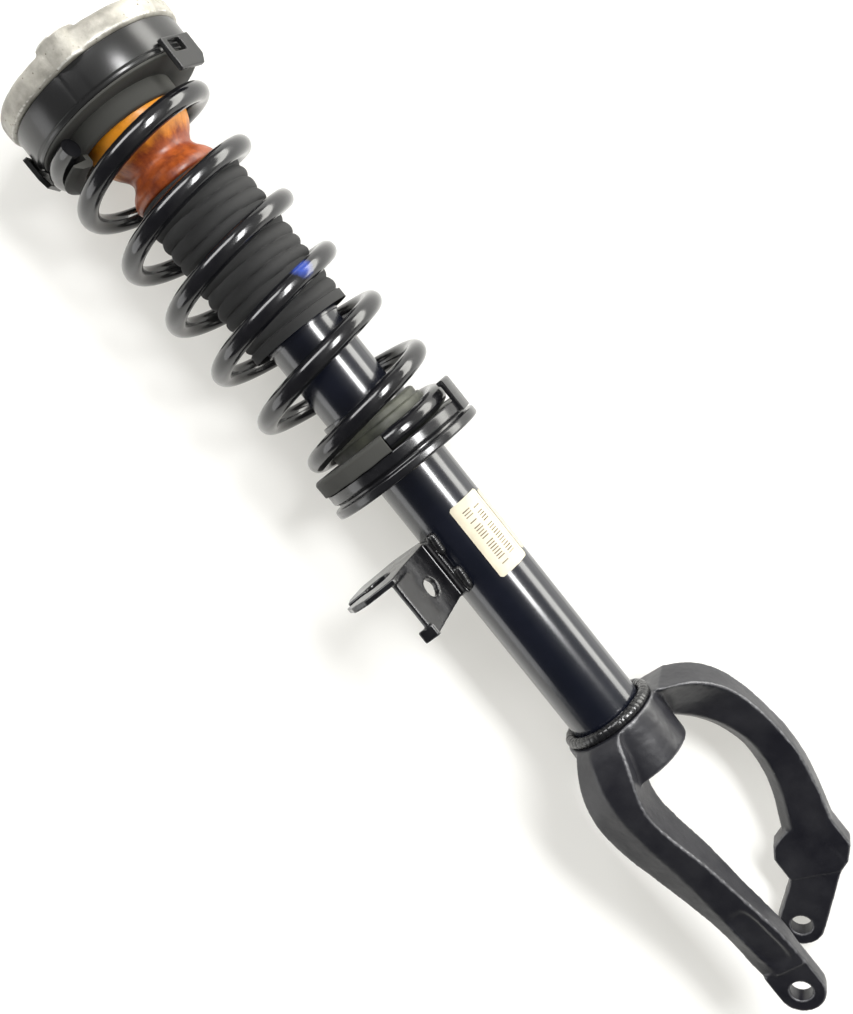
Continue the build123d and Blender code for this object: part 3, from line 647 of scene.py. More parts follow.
AMBER_FOAM = CellularFoam("amber_foam", (0.13, 0.02, 0.005), (0.31, 0.068, 0.01), (0.34, 0.5), patch=9.0,
                          grain=0.5, relief=0.025, specular=0.4, coat=0.15, coat_roughness=0.25)
ALUMINIUM = SandCast("sand_cast_aluminium", (0.19, 0.18, 0.155), (0.38, 0.365, 0.32), (0.38, 0.58),
                     patch=16.0, grain=1.1, relief=0.14, metallic=0.3, worn=(0.5, 0.49, 0.45), wear_from=0.5,
                     pit=3.2, pit_colour=(0.07, 0.045, 0.025), pit_share=0.95)
SEAT_PLASTIC = WornFinish("seat_plastic", (0.002, 0.002, 0.003), (0.006, 0.006, 0.007), (0.27, 0.4),
                          patch=22.0, grain=0.5, relief=0.012, worn=(0.04, 0.04, 0.04), wear_from=0.6,
                          wear_to=1.2)
STEEL = TurnedMetal("turned_steel", (0.36, 0.36, 0.37), (0.58, 0.58, 0.59), (0.22, 0.36), metallic=1.0,
                    relief=0.01)
ZINC = TurnedMetal("zinc_steel", (0.42, 0.41, 0.36), (0.6, 0.59, 0.53), (0.28, 0.42), metallic=1.0,
                   relief=0.012)
CHROME = TurnedMetal("hard_chrome", (0.62, 0.62, 0.64), (0.72, 0.72, 0.74), (0.05, 0.1), metallic=1.0,
                     relief=0.002, ring=0.2)
SINTERED = SandCast("sintered_steel", (0.2, 0.2, 0.21), (0.32, 0.32, 0.33), (0.4, 0.55), metallic=0.9,
                    grain=0.3, relief=0.02, pit=0.8)
BAND = Finish("bronze_band", (0.09, 0.06, 0.03), (0.16, 0.12, 0.07), (0.4, 0.55), grain=0.4)
CREAM_FILM = PrintedFilm("cream_film", (0.4, 0.36, 0.27), (0.5, 0.46, 0.36), (0.45, 0.6), patch=20.0,
                         grain=2.0, relief=0.004, specular=0.2)
CREAM_STRIP = Finish("cream_strip", (0.3, 0.28, 0.23), (0.42, 0.4, 0.34), (0.45, 0.6), patch=12.0, grain=2.0,
                     relief=0.004, specular=0.2)


# -------------------------------------------------------------------------------- mesh tools
def finished(piece: bpy.types.Object, finish: Finish, crease: float = 38.0) -> bpy.types.Object:
    """Give a piece its finish and smooth shading.

    Args:
        piece: The mesh object.
        finish: Its finish.
        crease: Angle in degrees above which an edge stays sharp.

    Returns:
        The same object.
    """
    mesh = piece.data
    mesh.materials.clear()
    mesh.materials.append(finish.material())
    mesh.polygons.foreach_set("material_index", np.zeros(len(mesh.polygons), np.int32))
    mesh.shade_smooth()
    mesh.set_sharp_from_angle(angle=math.radians(crease))
    return piece


def mesh_piece(name: str, points: list[Vector], faces: list[tuple[int, ...]],
               finish: Finish) -> bpy.types.Object:
    """Make a closed piece.

    Args:
        name: Name of the piece.
        points: Its points in metres.
        faces: Point numbers of each face.
        finish: Its finish.

    Returns:
        The new object, with its doubles merged and its faces turned outwards.
    """
    mesh = bpy.data.meshes.new(name)
    mesh.from_pydata([tuple(point) for point in points], [], faces)
    shell = bmesh.new()
    shell.from_mesh(mesh)
    bmesh.ops.remove_doubles(shell, verts=shell.verts, dist=1e-6)
    bmesh.ops.dissolve_degenerate(shell, edges=shell.edges, dist=1e-7)
    bmesh.ops.recalc_face_normals(shell, faces=shell.faces)
    shell.to_mesh(mesh)
    shell.free()
    piece = bpy.data.objects.new(name, mesh)
    bpy.context.scene.collection.objects.link(piece)
    return finished(piece, finish)


def rounded(outline: list[Point2], radius: float, steps: int = 4) -> list[Point2]:
    """Round the corners of a closed outline.

    Args:
        outline: Its corners. A corner on the axis stays sharp.
        radius: How far from each corner the rounding starts.
        steps: Number of edges in each rounding.

    Returns:
        The rounded outline.
    """
    made = []
    for number, (out, height) in enumerate(outline):
        corner = Vector((out, height))
        before = Vector(outline[number - 1]) - corner
        after = Vector(outline[(number + 1) % len(outline)]) - corner
        if out < 1e-6:
            made.append((out, height))
            continue
        start = corner + before.normalized() * min(radius, EDGE_SHARE * before.length)
        end = corner + after.normalized() * min(radius, EDGE_SHARE * after.length)
        for step in range(steps + 1):
            share = step / steps
            point = start * (1 - share) ** 2 + corner * 2 * share * (1 - share) + end * share ** 2
            made.append((point.x, point.y))
    return made


def turned(name: str, outline: list[Point2], finish: Finish, centre: Point2 = (0.0, 0.0), start: float = 0.0,
           arc: float = 360.0, steps: int = 144) -> bpy.types.Object:
    """Turn an outline about an upright line.

    Args:
        name: Name of the piece.
        outline: Closed outline as radius and height.
        finish: The piece's finish.
        centre: Where the line stands.
        start: Bearing where the turn starts.
        arc: How far it goes.
        steps: Number of steps in the turn.

    Returns:
        The new piece.
    """
    whole = arc >= 360.0
    rings = steps if whole else steps + 1
    points = [on_bearing(start + arc * ring / steps, out, height, centre)
              for ring in range(rings) for out, height in outline]
    count = len(outline)
    faces = []
    for ring in range(steps):
        here, there = ring * count, ((ring + 1) % rings) * count
        for number in range(count):
            after = (number + 1) % count
            faces.append((here + number, there + number, there + after, here + after))
    if not whole:
        faces.append(tuple(range(count)))
        faces.append(tuple(reversed(range(steps * count, (steps + 1) * count))))
    return mesh_piece(name, points, faces, finish)


def merged(name: str, pieces: list[bpy.types.Object]) -> bpy.types.Object:
    """Join several closed pieces of one finish into one piece.

    Args:
        name: Name of the result.
        pieces: The pieces, which are used up.

    Returns:
        The joined piece.
    """
    shell = bmesh.new()
    for piece in pieces:
        shell.from_mesh(piece.data)
    joined = pieces[0]
    shell.to_mesh(joined.data)
    shell.free()
    for piece in pieces[1:]:
        bpy.data.objects.remove(piece)
    joined.name = name
    return joined


def turn_outwards(piece: bpy.types.Object) -> None:
    """Turn every face of a closed piece outwards.

    Args:
        piece: The piece, whose mesh is changed.
    """
    shell = bmesh.new()
    shell.from_mesh(piece.data)
    bmesh.ops.recalc_face_normals(shell, faces=shell.faces)
    shell.to_mesh(piece.data)
    shell.free()


@dataclass
class Skin:
    """The points of a fine mesh, to be relaxed, pushed and measured all at once."""

    mesh: bpy.types.Mesh

    def __post_init__(self) -> None:
        """Read the points and edges."""
        count = len(self.mesh.vertices)
        flat = np.empty(count * 3)
        self.mesh.vertices.foreach_get("co", flat)
        self.points = flat.reshape(-1, 3)
        ends = np.empty(len(self.mesh.edges) * 2, np.int64)
        self.mesh.edges.foreach_get("vertices", ends)
        self.edges = ends.reshape(-1, 2)
        self.degree = np.maximum(np.bincount(self.edges.ravel(), minlength=count), 1)

    def neighbour_mean(self, values: np.ndarray) -> np.ndarray:
        """Average each point's neighbours.

        Args:
            values: One value or three at each point.

        Returns:
            The mean round each point, in the same shape.
        """
        first, second = self.edges[:, 0], self.edges[:, 1]
        columns = []
        for column in np.atleast_2d(values.T):
            total = np.bincount(first, column[second], len(self.degree))
            total += np.bincount(second, column[first], len(self.degree))
            columns.append(total / self.degree)
        return np.array(columns).T.reshape(values.shape)

    def relax(self, rounds: int, share: float = 0.5) -> None:
        """Move every point towards its neighbours.

        Args:
            rounds: How many times.
            share: How much of the way each time.
        """
        for _ in range(rounds):
            self.points += share * (self.neighbour_mean(self.points) - self.points)
        self.write()

    def write(self) -> None:
        """Put the points back into the mesh."""
        self.mesh.vertices.foreach_set("co", self.points.ravel())
        self.mesh.update()

    def normals(self) -> np.ndarray:
        """Read the outward direction at each point.

        Returns:
            One unit vector for each point.
        """
        flat = np.empty(len(self.points) * 3)
        self.mesh.vertex_normals.foreach_get("vector", flat)
        return flat.reshape(-1, 3)

    def ripple(self, cell: float, height: float) -> None:
        """Push the surface in and out.

        Args:
            cell: Size of the waves in millimetres.
            height: Their height in millimetres.
        """
        scale = 1.0 / (cell * MM)
        waves = np.array([noise.noise(Vector(point) * scale) for point in self.points])
        self.points += self.normals() * (waves * height * MM)[:, None]
        self.write()

    def mark_edges(self, reach: int, sharp: float) -> None:
        """Store how sharply each point stands out, as the attribute the worn finishes read.

        Args:
            reach: How many rounds of averaging widen the edges.
            sharp: Mean bend, in radians for each millimetre, that counts as a full edge.
        """
        pull = self.points - self.neighbour_mean(self.points)
        first, second = self.edges[:, 0], self.edges[:, 1]
        lengths = np.linalg.norm(self.points[first] - self.points[second], axis=1)
        mean_length = np.bincount(first, lengths, len(self.degree))
        mean_length = (mean_length + np.bincount(second, lengths, len(self.degree))) / self.degree
        bend = 2.0 * np.einsum("ij,ij->i", pull, self.normals()) / np.maximum(mean_length, 1e-9) ** 2 * MM
        for _ in range(reach):
            bend = 0.5 * bend + 0.5 * self.neighbour_mean(bend)
        wear = self.mesh.attributes.new("wear", "FLOAT", "POINT")
        wear.data.foreach_set("value", np.clip(bend / sharp, 0.0, 1.0).astype(np.float32))


def recast(name: str, node: bpy.types.Object, finish: Finish, voxel: float, rounds: int) -> bpy.types.Object:
    """Make a fine, soft-edged copy of a CAD node.

    Args:
        name: Name of the new piece.
        node: The CAD node's object, which isn't changed.
        finish: The finish of the copy.
        voxel: Size of the new mesh in millimetres.
        rounds: How many times its edges are relaxed.

    Returns:
        The new piece.
    """
    copy = node.data.copy()
    shell = bmesh.new()
    shell.from_mesh(copy)
    bmesh.ops.remove_doubles(shell, verts=shell.verts, dist=2e-6)
    shell.to_mesh(copy)
    shell.free()
    host = bpy.data.objects.new(name, copy)
    bpy.context.scene.collection.objects.link(host)
    modifier = host.modifiers.new("recast", "REMESH")
    modifier.mode = "VOXEL"
    modifier.voxel_size = voxel * MM
    graph = bpy.context.evaluated_depsgraph_get()
    mesh = bpy.data.meshes.new_from_object(host.evaluated_get(graph), depsgraph=graph)
    host.modifiers.remove(modifier)
    host.data = mesh
    Skin(mesh).relax(rounds)
    return finished(host, finish, crease=60.0)


# -------------------------------------------------------------------------------- rule-made shapes
@dataclass
class WeldBead:
    """A run of overlapping weld ripples on a core, laid about the damper axis."""

    radius: float
    height: float
    thickness: float
    start: float = 0.0
    sweep: float = 360.0
    rise: float = 0.0
    ripples: int = 70
    seed: int = 1
    core: float = 0.8                # the core's radius as a share of the thickness
    core_sides: int = 10
    core_stations: int = 24          # fewest stations along the core
    smallest: tuple[float, float, float] = (1.3, 0.93, 0.93)   # ripple's length, width and height as shares
    largest: tuple[float, float, float] = (1.9, 1.0, 1.0)

    def build(self, name: str, finish: Finish) -> bpy.types.Object:
        """Lay the bead.

        Args:
            name: Name of the piece.
            finish: Its finish.

        Returns:
            The new piece.
        """
        recipe = Recipe(name + "_recipe")
        radius = recipe.size("Radius", self.radius * MM)
        height = recipe.size("Height", self.height * MM)
        thickness = recipe.size("Thickness", self.thickness * MM)
        start = recipe.size("Start", math.radians(LABEL_SIDE + self.start))
        sweep = recipe.size("Sweep", math.radians(self.sweep))
        rise = recipe.size("Rise", self.rise * MM)
        count = recipe.size("Ripples", self.ripples)
        seed = recipe.size("Seed", self.seed)

        def place(share: Wire) -> Wire:
            """Find a point on the bead.

            Args:
                share: Share of the way along it.

            Returns:
                The point in metres.
            """
            angle = start + sweep * share
            return recipe.vector(recipe.math("COSINE", angle) * radius, recipe.math("SINE", angle) * radius,
                                 height + rise * share)

        core = recipe.swept(recipe.path(max(self.ripples, self.core_stations), place),
                            thickness * self.core, self.core_sides)
        ball = recipe.call("GeometryNodeMeshUVSphere", {"Segments": 14, "Rings": 9, "Radius": 1.0})
        along = recipe.call("GeometryNodeInputTangent", {})
        turn = recipe.call("FunctionNodeAlignRotationToVector", {"Vector": along}, axis="X")
        vary = recipe.call("FunctionNodeRandomValue", {"Min": self.smallest, "Max": self.largest,
                                                       "Seed": seed}, data_type="FLOAT_VECTOR")
        scale = recipe.call("ShaderNodeVectorMath", {0: vary, "Scale": thickness}, operation="SCALE")
        ripples = recipe.call("GeometryNodeInstanceOnPoints", {
            "Points": recipe.path(count, place), "Instance": ball, "Rotation": turn, "Scale": scale})
        return recipe.run(name, recipe.joined(core, ripples), finish)


@dataclass
class ScrewThread:
    """Thread ridges round one upright line, or the same thread repeated round a circle."""

    radius: float
    bottom: float
    pitch: float
    turns: int
    ridge: float
    repeats: int = 1
    circle: float = 0.0
    first: float = 0.0
    centre: Point2 = (0.0, 0.0)
    ridge_sides: int = 4

    def build(self, name: str, finish: Finish) -> bpy.types.Object:
        """Cut the thread.

        Args:
            name: Name of the piece.
            finish: Its finish.

        Returns:
            The new piece.
        """
        recipe = Recipe(name + "_recipe")
        radius = recipe.size("Radius", self.radius * MM)
        bottom = recipe.size("Bottom", self.bottom * MM)
        pitch = recipe.size("Pitch", self.pitch * MM)
        turns = recipe.size("Turns", self.turns)
        ridge = recipe.size("Ridge", self.ridge * MM)
        circle = recipe.size("Circle", self.circle * MM)
        repeats = recipe.size("Repeats", self.repeats)
        first = recipe.size("First", math.radians(LABEL_SIDE + self.first))

        def helix(share: Wire) -> Wire:
            """Find a point on one thread.

            Args:
                share: Share of the way up it.

            Returns:
                The point in metres, from the thread's foot.
            """
            angle = share * turns * (2.0 * math.pi)
            return recipe.vector(recipe.math("COSINE", angle) * radius, recipe.math("SINE", angle) * radius,
                                 share * turns * pitch)

        thread = recipe.swept(recipe.path(turns * THREAD_STEPS, helix), ridge, self.ridge_sides)
        index = recipe.call("GeometryNodeInputIndex", {})
        angle = first + index * (2.0 * math.pi) / repeats
        x = recipe.math("COSINE", angle) * circle + self.centre[0] * MM
        y = recipe.math("SINE", angle) * circle + self.centre[1] * MM
        spots = recipe.call("GeometryNodePoints", {"Count": repeats, "Position": recipe.vector(x, y, bottom)})
        threads = recipe.call("GeometryNodeInstanceOnPoints", {"Points": spots, "Instance": thread})
        return recipe.run(name, threads, finish)


# -------------------------------------------------------------------------------- sub-assemblies
@dataclass
class SubAssembly:
    """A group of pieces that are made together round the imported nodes."""

    nodes: dict[str, bpy.types.Object]

    def place(self, piece: bpy.types.Object, body: Body, slot: Slot, *stands_for: str) -> bpy.types.Object:
        """Fix a finished piece to its body.

        Args:
            piece: The piece, already in place.
            body: The body that carries it.
            slot: A material slot; not used.
            *stands_for: Names of the CAD nodes it replaces.

        Returns:
            The same piece.
        """
        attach(piece, body.value)
        if stands_for:
            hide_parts(*stands_for)
        LOG.info("%s: %d faces on %s", piece.name, len(piece.data.polygons), body.value)
        return piece

    def dress(self, finish: Finish, *names: str) -> None:
        """Put a finish on CAD nodes that keep their own shape.

        Args:
            finish: The finish.
            *names: Names of the CAD nodes.
        """
        for name in names:
            for slot in self.nodes[name].material_slots:
                slot.material = finish.material()
            LOG.info("%s: finished as %s", name, finish.title)

    def build(self) -> None:
        """Make and place every piece of the group."""
        raise NotImplementedError


@dataclass
class LowerFork(SubAssembly):
    """The forged fork and the weld that holds the tube in its socket."""

    voxel: float = 1.0
    bore: float = 7.25
    pocket_height: float = 47.0
    pocket_length: float = 20.0
    pocket_width: float = 7.0
    pocket_depth: float = 1.3
    pocket_shift: float = 1.0            # x of the pocket's middle
    pocket_lean: float = 0.06            # how far the pocket moves sideways for each millimetre up
    pocket_slope: float = 0.35           # width of the pocket's sloping wall, as a share of its half size
    near_face: float = -28.0             # y in front of which the straight arm lies
    step_from: Point2 = (14.0, 33.0)     # ends of the slanting step in the far arm's front, as x and z
    step_to: Point2 = (47.0, 23.0)
    step_rise: float = 0.7
    step_width: float = 1.4
    step_fade: float = 30.0              # height above the step over which the raised face sinks back
    step_spill: float = 6.0              # how far the raised face goes past the step's ends
    far_face: float = 33.0               # y of the far arm's front
    far_slack: float = 4.0
    waves: tuple[Point2, ...] = ((14.0, 0.22), (3.0, 0.07))   # size and height of the forged skin's waves
    socket_top: float = 208.0
    weld_lift: float = 3.2               # height of the weld's middle above the socket
    weld_bead: float = 3.9

    def build(self) -> None:
        """Make the fork and its weld."""
        fork = recast("fork_forging", self.nodes["lower_fork"], BLACK_CASTING, self.voxel, 5)
        skin = Skin(fork.data)
        self.press_pocket(skin)
        self.raise_face(skin)
        for cell, height in self.waves:
            skin.ripple(cell, height)
        self.true_bore(skin)
        skin.mark_edges(3, 0.22)
        self.place(fork, Body.DAMPER, Slot.FORK, "lower_fork")
        low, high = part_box("fork_weld")
        radius = (high.x - low.x) / MM / 2
        bead = WeldBead(radius=radius - self.weld_bead, height=self.socket_top + self.weld_lift,
                        thickness=self.weld_bead, ripples=46, seed=4)
        self.place(bead.build("socket_weld", WELD_PAINT), Body.DAMPER, Slot.SHEET, "fork_weld")

    def press_pocket(self, skin: Skin) -> None:
        """Press the shallow pocket into the front of the straight arm.

        Args:
            skin: The fork's surface.
        """
        points = skin.points / MM
        facing = skin.normals()[:, 1] < -0.4
        up = (points[:, 2] - self.pocket_height) / self.pocket_length
        leaned = points[:, 0] - self.pocket_shift + self.pocket_lean * (points[:, 2] - self.pocket_height)
        across = leaned / self.pocket_width
        slope = self.pocket_slope
        inside = np.clip(1.0 + slope - (np.abs(up) ** 4 + np.abs(across) ** 4) ** 0.25, 0.0, slope) / slope
        depth = self.pocket_depth * inside * inside * (3 - 2 * inside)
        near = facing & (points[:, 1] < self.near_face)
        skin.points[near, 1] += depth[near] * MM
        skin.write()

    def raise_face(self, skin: Skin) -> None:
        """Raise the front of the far arm above a slanting line, which leaves a fine step.

        Args:
            skin: The fork's surface.
        """
        points = skin.points / MM
        (x0, z0), (x1, z1) = self.step_from, self.step_to
        above = points[:, 2] - z0 - (points[:, 0] - x0) * (z1 - z0) / (x1 - x0)
        share = np.clip(above / self.step_width, 0.0, 1.0) * np.clip(1.0 - above / self.step_fade, 0.0, 1.0)
        face = (skin.normals()[:, 1] < -0.8) & (np.abs(points[:, 1] - self.far_face) < self.far_slack)
        face &= (points[:, 0] > x0 - self.step_spill) & (points[:, 0] < x1 + self.step_spill)
        skin.points[face, 1] -= share[face] * self.step_rise * MM
        skin.write()

    def true_bore(self, skin: Skin) -> None:
        """Draw the walls of the bolt holes back to a true circle.

        Args:
            skin: The fork's surface.
        """
        out = np.hypot(skin.points[:, 0], skin.points[:, 2])
        wall = (out < (self.bore + 1.1) * MM) & (np.abs(skin.normals()[:, 1]) < 0.7)
        scale = self.bore * MM / np.maximum(out[wall], 1e-6)
        skin.points[wall, 0] *= scale
        skin.points[wall, 2] *= scale
        skin.write()


@dataclass
class DamperTube(SubAssembly):
    """The painted tube with its label, cap and sleeve, and everything inside it."""

    tube_radius: float = 25.0
    label_start: float = 3.0
    label_arc: float = 61.0
    strip_start: float = 66.0
    strip_arc: float = 24.0
    film_skin: float = 0.25
    corner: float = 1.6

    def film(self, name: str, node: str, start: float, arc: float, finish: Finish) -> bpy.types.Object:
        """Wrap a thin film with round corners on the tube.

        Args:
            name: Name of the piece.
            node: CAD node that gives its height.
            start: Bearing of its left edge.
            arc: How far round it reaches.
            finish: Its finish.

        Returns:
            The film, with a UV map named film.
        """
        low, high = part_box(node)
        bottom, top = low.z / MM, high.z / MM
        width = math.radians(arc) * self.tube_radius
        columns, rows = 40, 36
        points, spots = [], []
        for layer in (self.tube_radius, self.tube_radius + self.film_skin):
            for row in range(rows + 1):
                up = row / rows
                edge = min(up, 1 - up) * (top - bottom)
                dip = max(self.corner - edge, 0.0)
                trim = (self.corner - math.sqrt(max(self.corner ** 2 - dip ** 2, 0.0))) / width
                for column in range(columns + 1):
                    across = trim + (1 - 2 * trim) * column / columns
                    points.append(on_bearing(start + arc * across, layer, bottom + (top - bottom) * up))
                    spots.append((across, up))
        stride = columns + 1
        upper = stride * (rows + 1)      # number of points in the inner layer
        faces = []
        for row in range(rows):
            for column in range(columns):
                first = row * stride + column
                quad = (first, first + 1, first + stride + 1, first + stride)
                faces.append(tuple(reversed(quad)))
                faces.append(tuple(corner + upper for corner in quad))
        rim = list(range(columns))
        rim += [row * stride + columns for row in range(rows)]
        rim += [rows * stride + column for column in range(columns, 0, -1)]
        rim += [row * stride for row in range(rows, 0, -1)]
        for number, first in enumerate(rim):
            second = rim[(number + 1) % len(rim)]
            faces.append((first, second, second + upper, first + upper))
        mesh = bpy.data.meshes.new(name)
        mesh.from_pydata([tuple(point) for point in points], [], faces)
        coordinates = mesh.uv_layers.new(name="film")
        for loop in mesh.loops:
            coordinates.data[loop.index].uv = spots[loop.vertex_index]
        piece = bpy.data.objects.new(name, mesh)
        bpy.context.scene.collection.objects.link(piece)
        return finished(piece, finish)

    def build(self) -> None:
        """Make the films and sleeve, and dress the tube and what it holds."""
        label = self.film("tube_label", "label", self.label_start, self.label_arc, CREAM_FILM)
        self.place(label, Body.DAMPER, Slot.PAPER, "label")
        strip = self.film("tube_label_strip", "label_strip", self.strip_start, self.strip_arc, CREAM_STRIP)
        self.place(strip, Body.DAMPER, Slot.PAPER, "label_strip")
        low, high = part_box("seat_sleeve")
        bottom, top, out = low.z / MM, high.z / MM, (high.x - low.x) / MM / 2
        outline = [(self.tube_radius, bottom), (out, bottom), (out, top), (self.tube_radius, top)]
        sleeve = turned("seat_tube_sleeve", rounded(outline, 0.9), TUBE_PAINT)
        self.place(sleeve, Body.DAMPER, Slot.TUBE, "seat_sleeve")
        self.dress(TUBE_PAINT, "damper_tube", "tube_cap")
        self.dress(STEEL, "tube_end_plug", "gas_fill_screw", "seal_retainer")
        self.dress(ALUMINIUM, "floating_piston")
        self.dress(SEAT_RUBBER, "floating_piston_seal", "rod_guide_seal_ring", "rod_seal")
        self.dress(SINTERED, "rod_guide")
        self.dress(BAND, "rod_guide_bush")


@dataclass
class LinkBracket(SubAssembly):
    """The folded bracket and the two welds that hold it on the tube."""

    voxel: float = 0.7
    weld_bearing: float = -43.0
    weld_radius: float = 26.2
    weld_heights: Point2 = (341.7, 368.5)
    weld_length: float = 9.0
    weld_bead: float = 2.5
    weld_lanes: Point2 = (-3.0, 3.0)     # bearings of each weld's two beads, from its middle

    def build(self) -> None:
        """Make the bracket and its welds."""
        bracket = recast("link_bracket_sheet", self.nodes["link_bracket"], SHEET_PAINT, self.voxel, 3)
        skin = Skin(bracket.data)
        skin.ripple(11.0, 0.12)
        skin.mark_edges(2, 0.35)
        self.place(bracket, Body.DAMPER, Slot.SHEET, "link_bracket")
        beads = []
        for number, height in enumerate(self.weld_heights):
            for lane, offset in enumerate(self.weld_lanes):
                bead = WeldBead(radius=self.weld_radius, height=height - self.weld_length / 2,
                                thickness=self.weld_bead, start=self.weld_bearing + offset, sweep=2.0,
                                rise=self.weld_length, ripples=7, seed=7 + number)
                beads.append(bead.build(f"bracket_bead_{number}_{lane}", WELD_PAINT))
        self.place(merged("bracket_weld_beads", beads), Body.DAMPER, Slot.SHEET, "bracket_welds")


@dataclass
class LowerSeat(SubAssembly):
    """The pressed pan, its stop tab, its weld and the rubber pad under the end coil."""

    tube_radius: float = 25.0
    rim_radius: float = 54.4
    pan_floor: float = 427.0
    pan_rim: float = 432.0
    hub_radius: float = 34.5
    coil_seat: float = 431.35
    pan_inner: float = 49.2
    pan_outer: float = 52.0
    shelf_radius: float = 46.5
    groove_radius: float = 49.6
    tab_bearing: float = 61.0
    tab_arc: float = 17.0
    tab_inner: float = 51.0
    tab_outer: float = 54.2
    tab_top: float = 445.8
    ramp_start: float = -95.0
    ramp_arc: float = 92.0
    ramp_outer: float = 53.6
    ramp_top: float = 443.2
    pad_inner: float = 28.0
    pad_outer: float = 49.0
    hub_top: float = 449.5
    neck_radius: float = 32.4
    neck_top: float = 455.0
    weld_radius: float = 26.3
    weld_height: float = 421.6

    def build(self) -> None:
        """Make the pan, the weld under it and the pad in it."""
        low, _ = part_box("lower_spring_seat")
        foot = low.z / MM
        rim = self.rim_radius
        pan = turned("spring_pan", rounded([
            (self.tube_radius, foot + 8), (self.shelf_radius, foot + 8), (self.shelf_radius, foot),
            (rim - 1, foot), (rim, foot + 1), (rim, foot + 5), (rim - 1, foot + 6),
            (self.groove_radius + 0.6, foot + 6), (self.groove_radius, foot + 6.9),
            (self.groove_radius, foot + 8.1), (self.pan_outer, foot + 9.5),
            (self.pan_outer, self.pan_rim - 0.8), (self.pan_outer - 0.8, self.pan_rim),
            (self.pan_inner, self.pan_rim), (self.pan_inner, self.pan_floor),
            (self.tube_radius, self.pan_floor)], 0.9, 3), SHEET_PAINT, steps=180)
        tab = turned("stop_tab", rounded([
            (self.tab_inner, 424.5), (self.tab_outer, 423.0), (self.tab_outer, self.tab_top - 1.2),
            (self.tab_outer - 1.0, self.tab_top), (self.groove_radius, self.tab_top),
            (self.groove_radius, self.tab_top - 2.4), (self.tab_inner, self.tab_top - 3.4)], 0.7, 3),
            SHEET_PAINT, start=self.tab_bearing, arc=self.tab_arc, steps=20)
        seat = merged("spring_pan", [pan, tab])
        Skin(seat.data).mark_edges(1, 1.2)
        self.place(seat, Body.DAMPER, Slot.SHEET, "lower_spring_seat")
        weld = WeldBead(radius=self.weld_radius, height=self.weld_height, thickness=2.0, ripples=84, seed=9)
        self.place(weld.build("pan_weld", WELD_PAINT), Body.DAMPER, Slot.SHEET, "seat_weld")
        hub = self.hub_radius
        pad = turned("coil_pad", rounded([
            (self.pad_inner, self.pan_floor), (self.pad_outer, self.pan_floor),
            (self.pad_outer, self.coil_seat), (hub, self.coil_seat), (hub, self.hub_top - 1),
            (hub - 1, self.hub_top),
            (self.neck_radius, self.hub_top), (self.neck_radius, self.neck_top - 1.5),
            (self.neck_radius - 2, self.neck_top), (self.pad_inner, self.neck_top)], 0.8, 3), HUB_RUBBER)
        ramp = turned("coil_stop", rounded([
            (hub, self.coil_seat), (self.pad_outer, self.coil_seat), (self.pad_outer, self.pan_rim),
            (self.ramp_outer, self.pan_rim), (self.ramp_outer, self.ramp_top - 1.6),
            (self.ramp_outer - 1.6, self.ramp_top), (hub, self.ramp_top)], 1.0, 4), SEAT_RUBBER,
            start=self.ramp_start, arc=self.ramp_arc, steps=60)
        Skin(ramp.data).ripple(9.0, 0.35)
        self.place(pad, Body.DAMPER, Slot.SEAT_RUBBER, "lower_spring_pad")
        self.place(ramp, Body.DAMPER, Slot.SEAT_RUBBER)


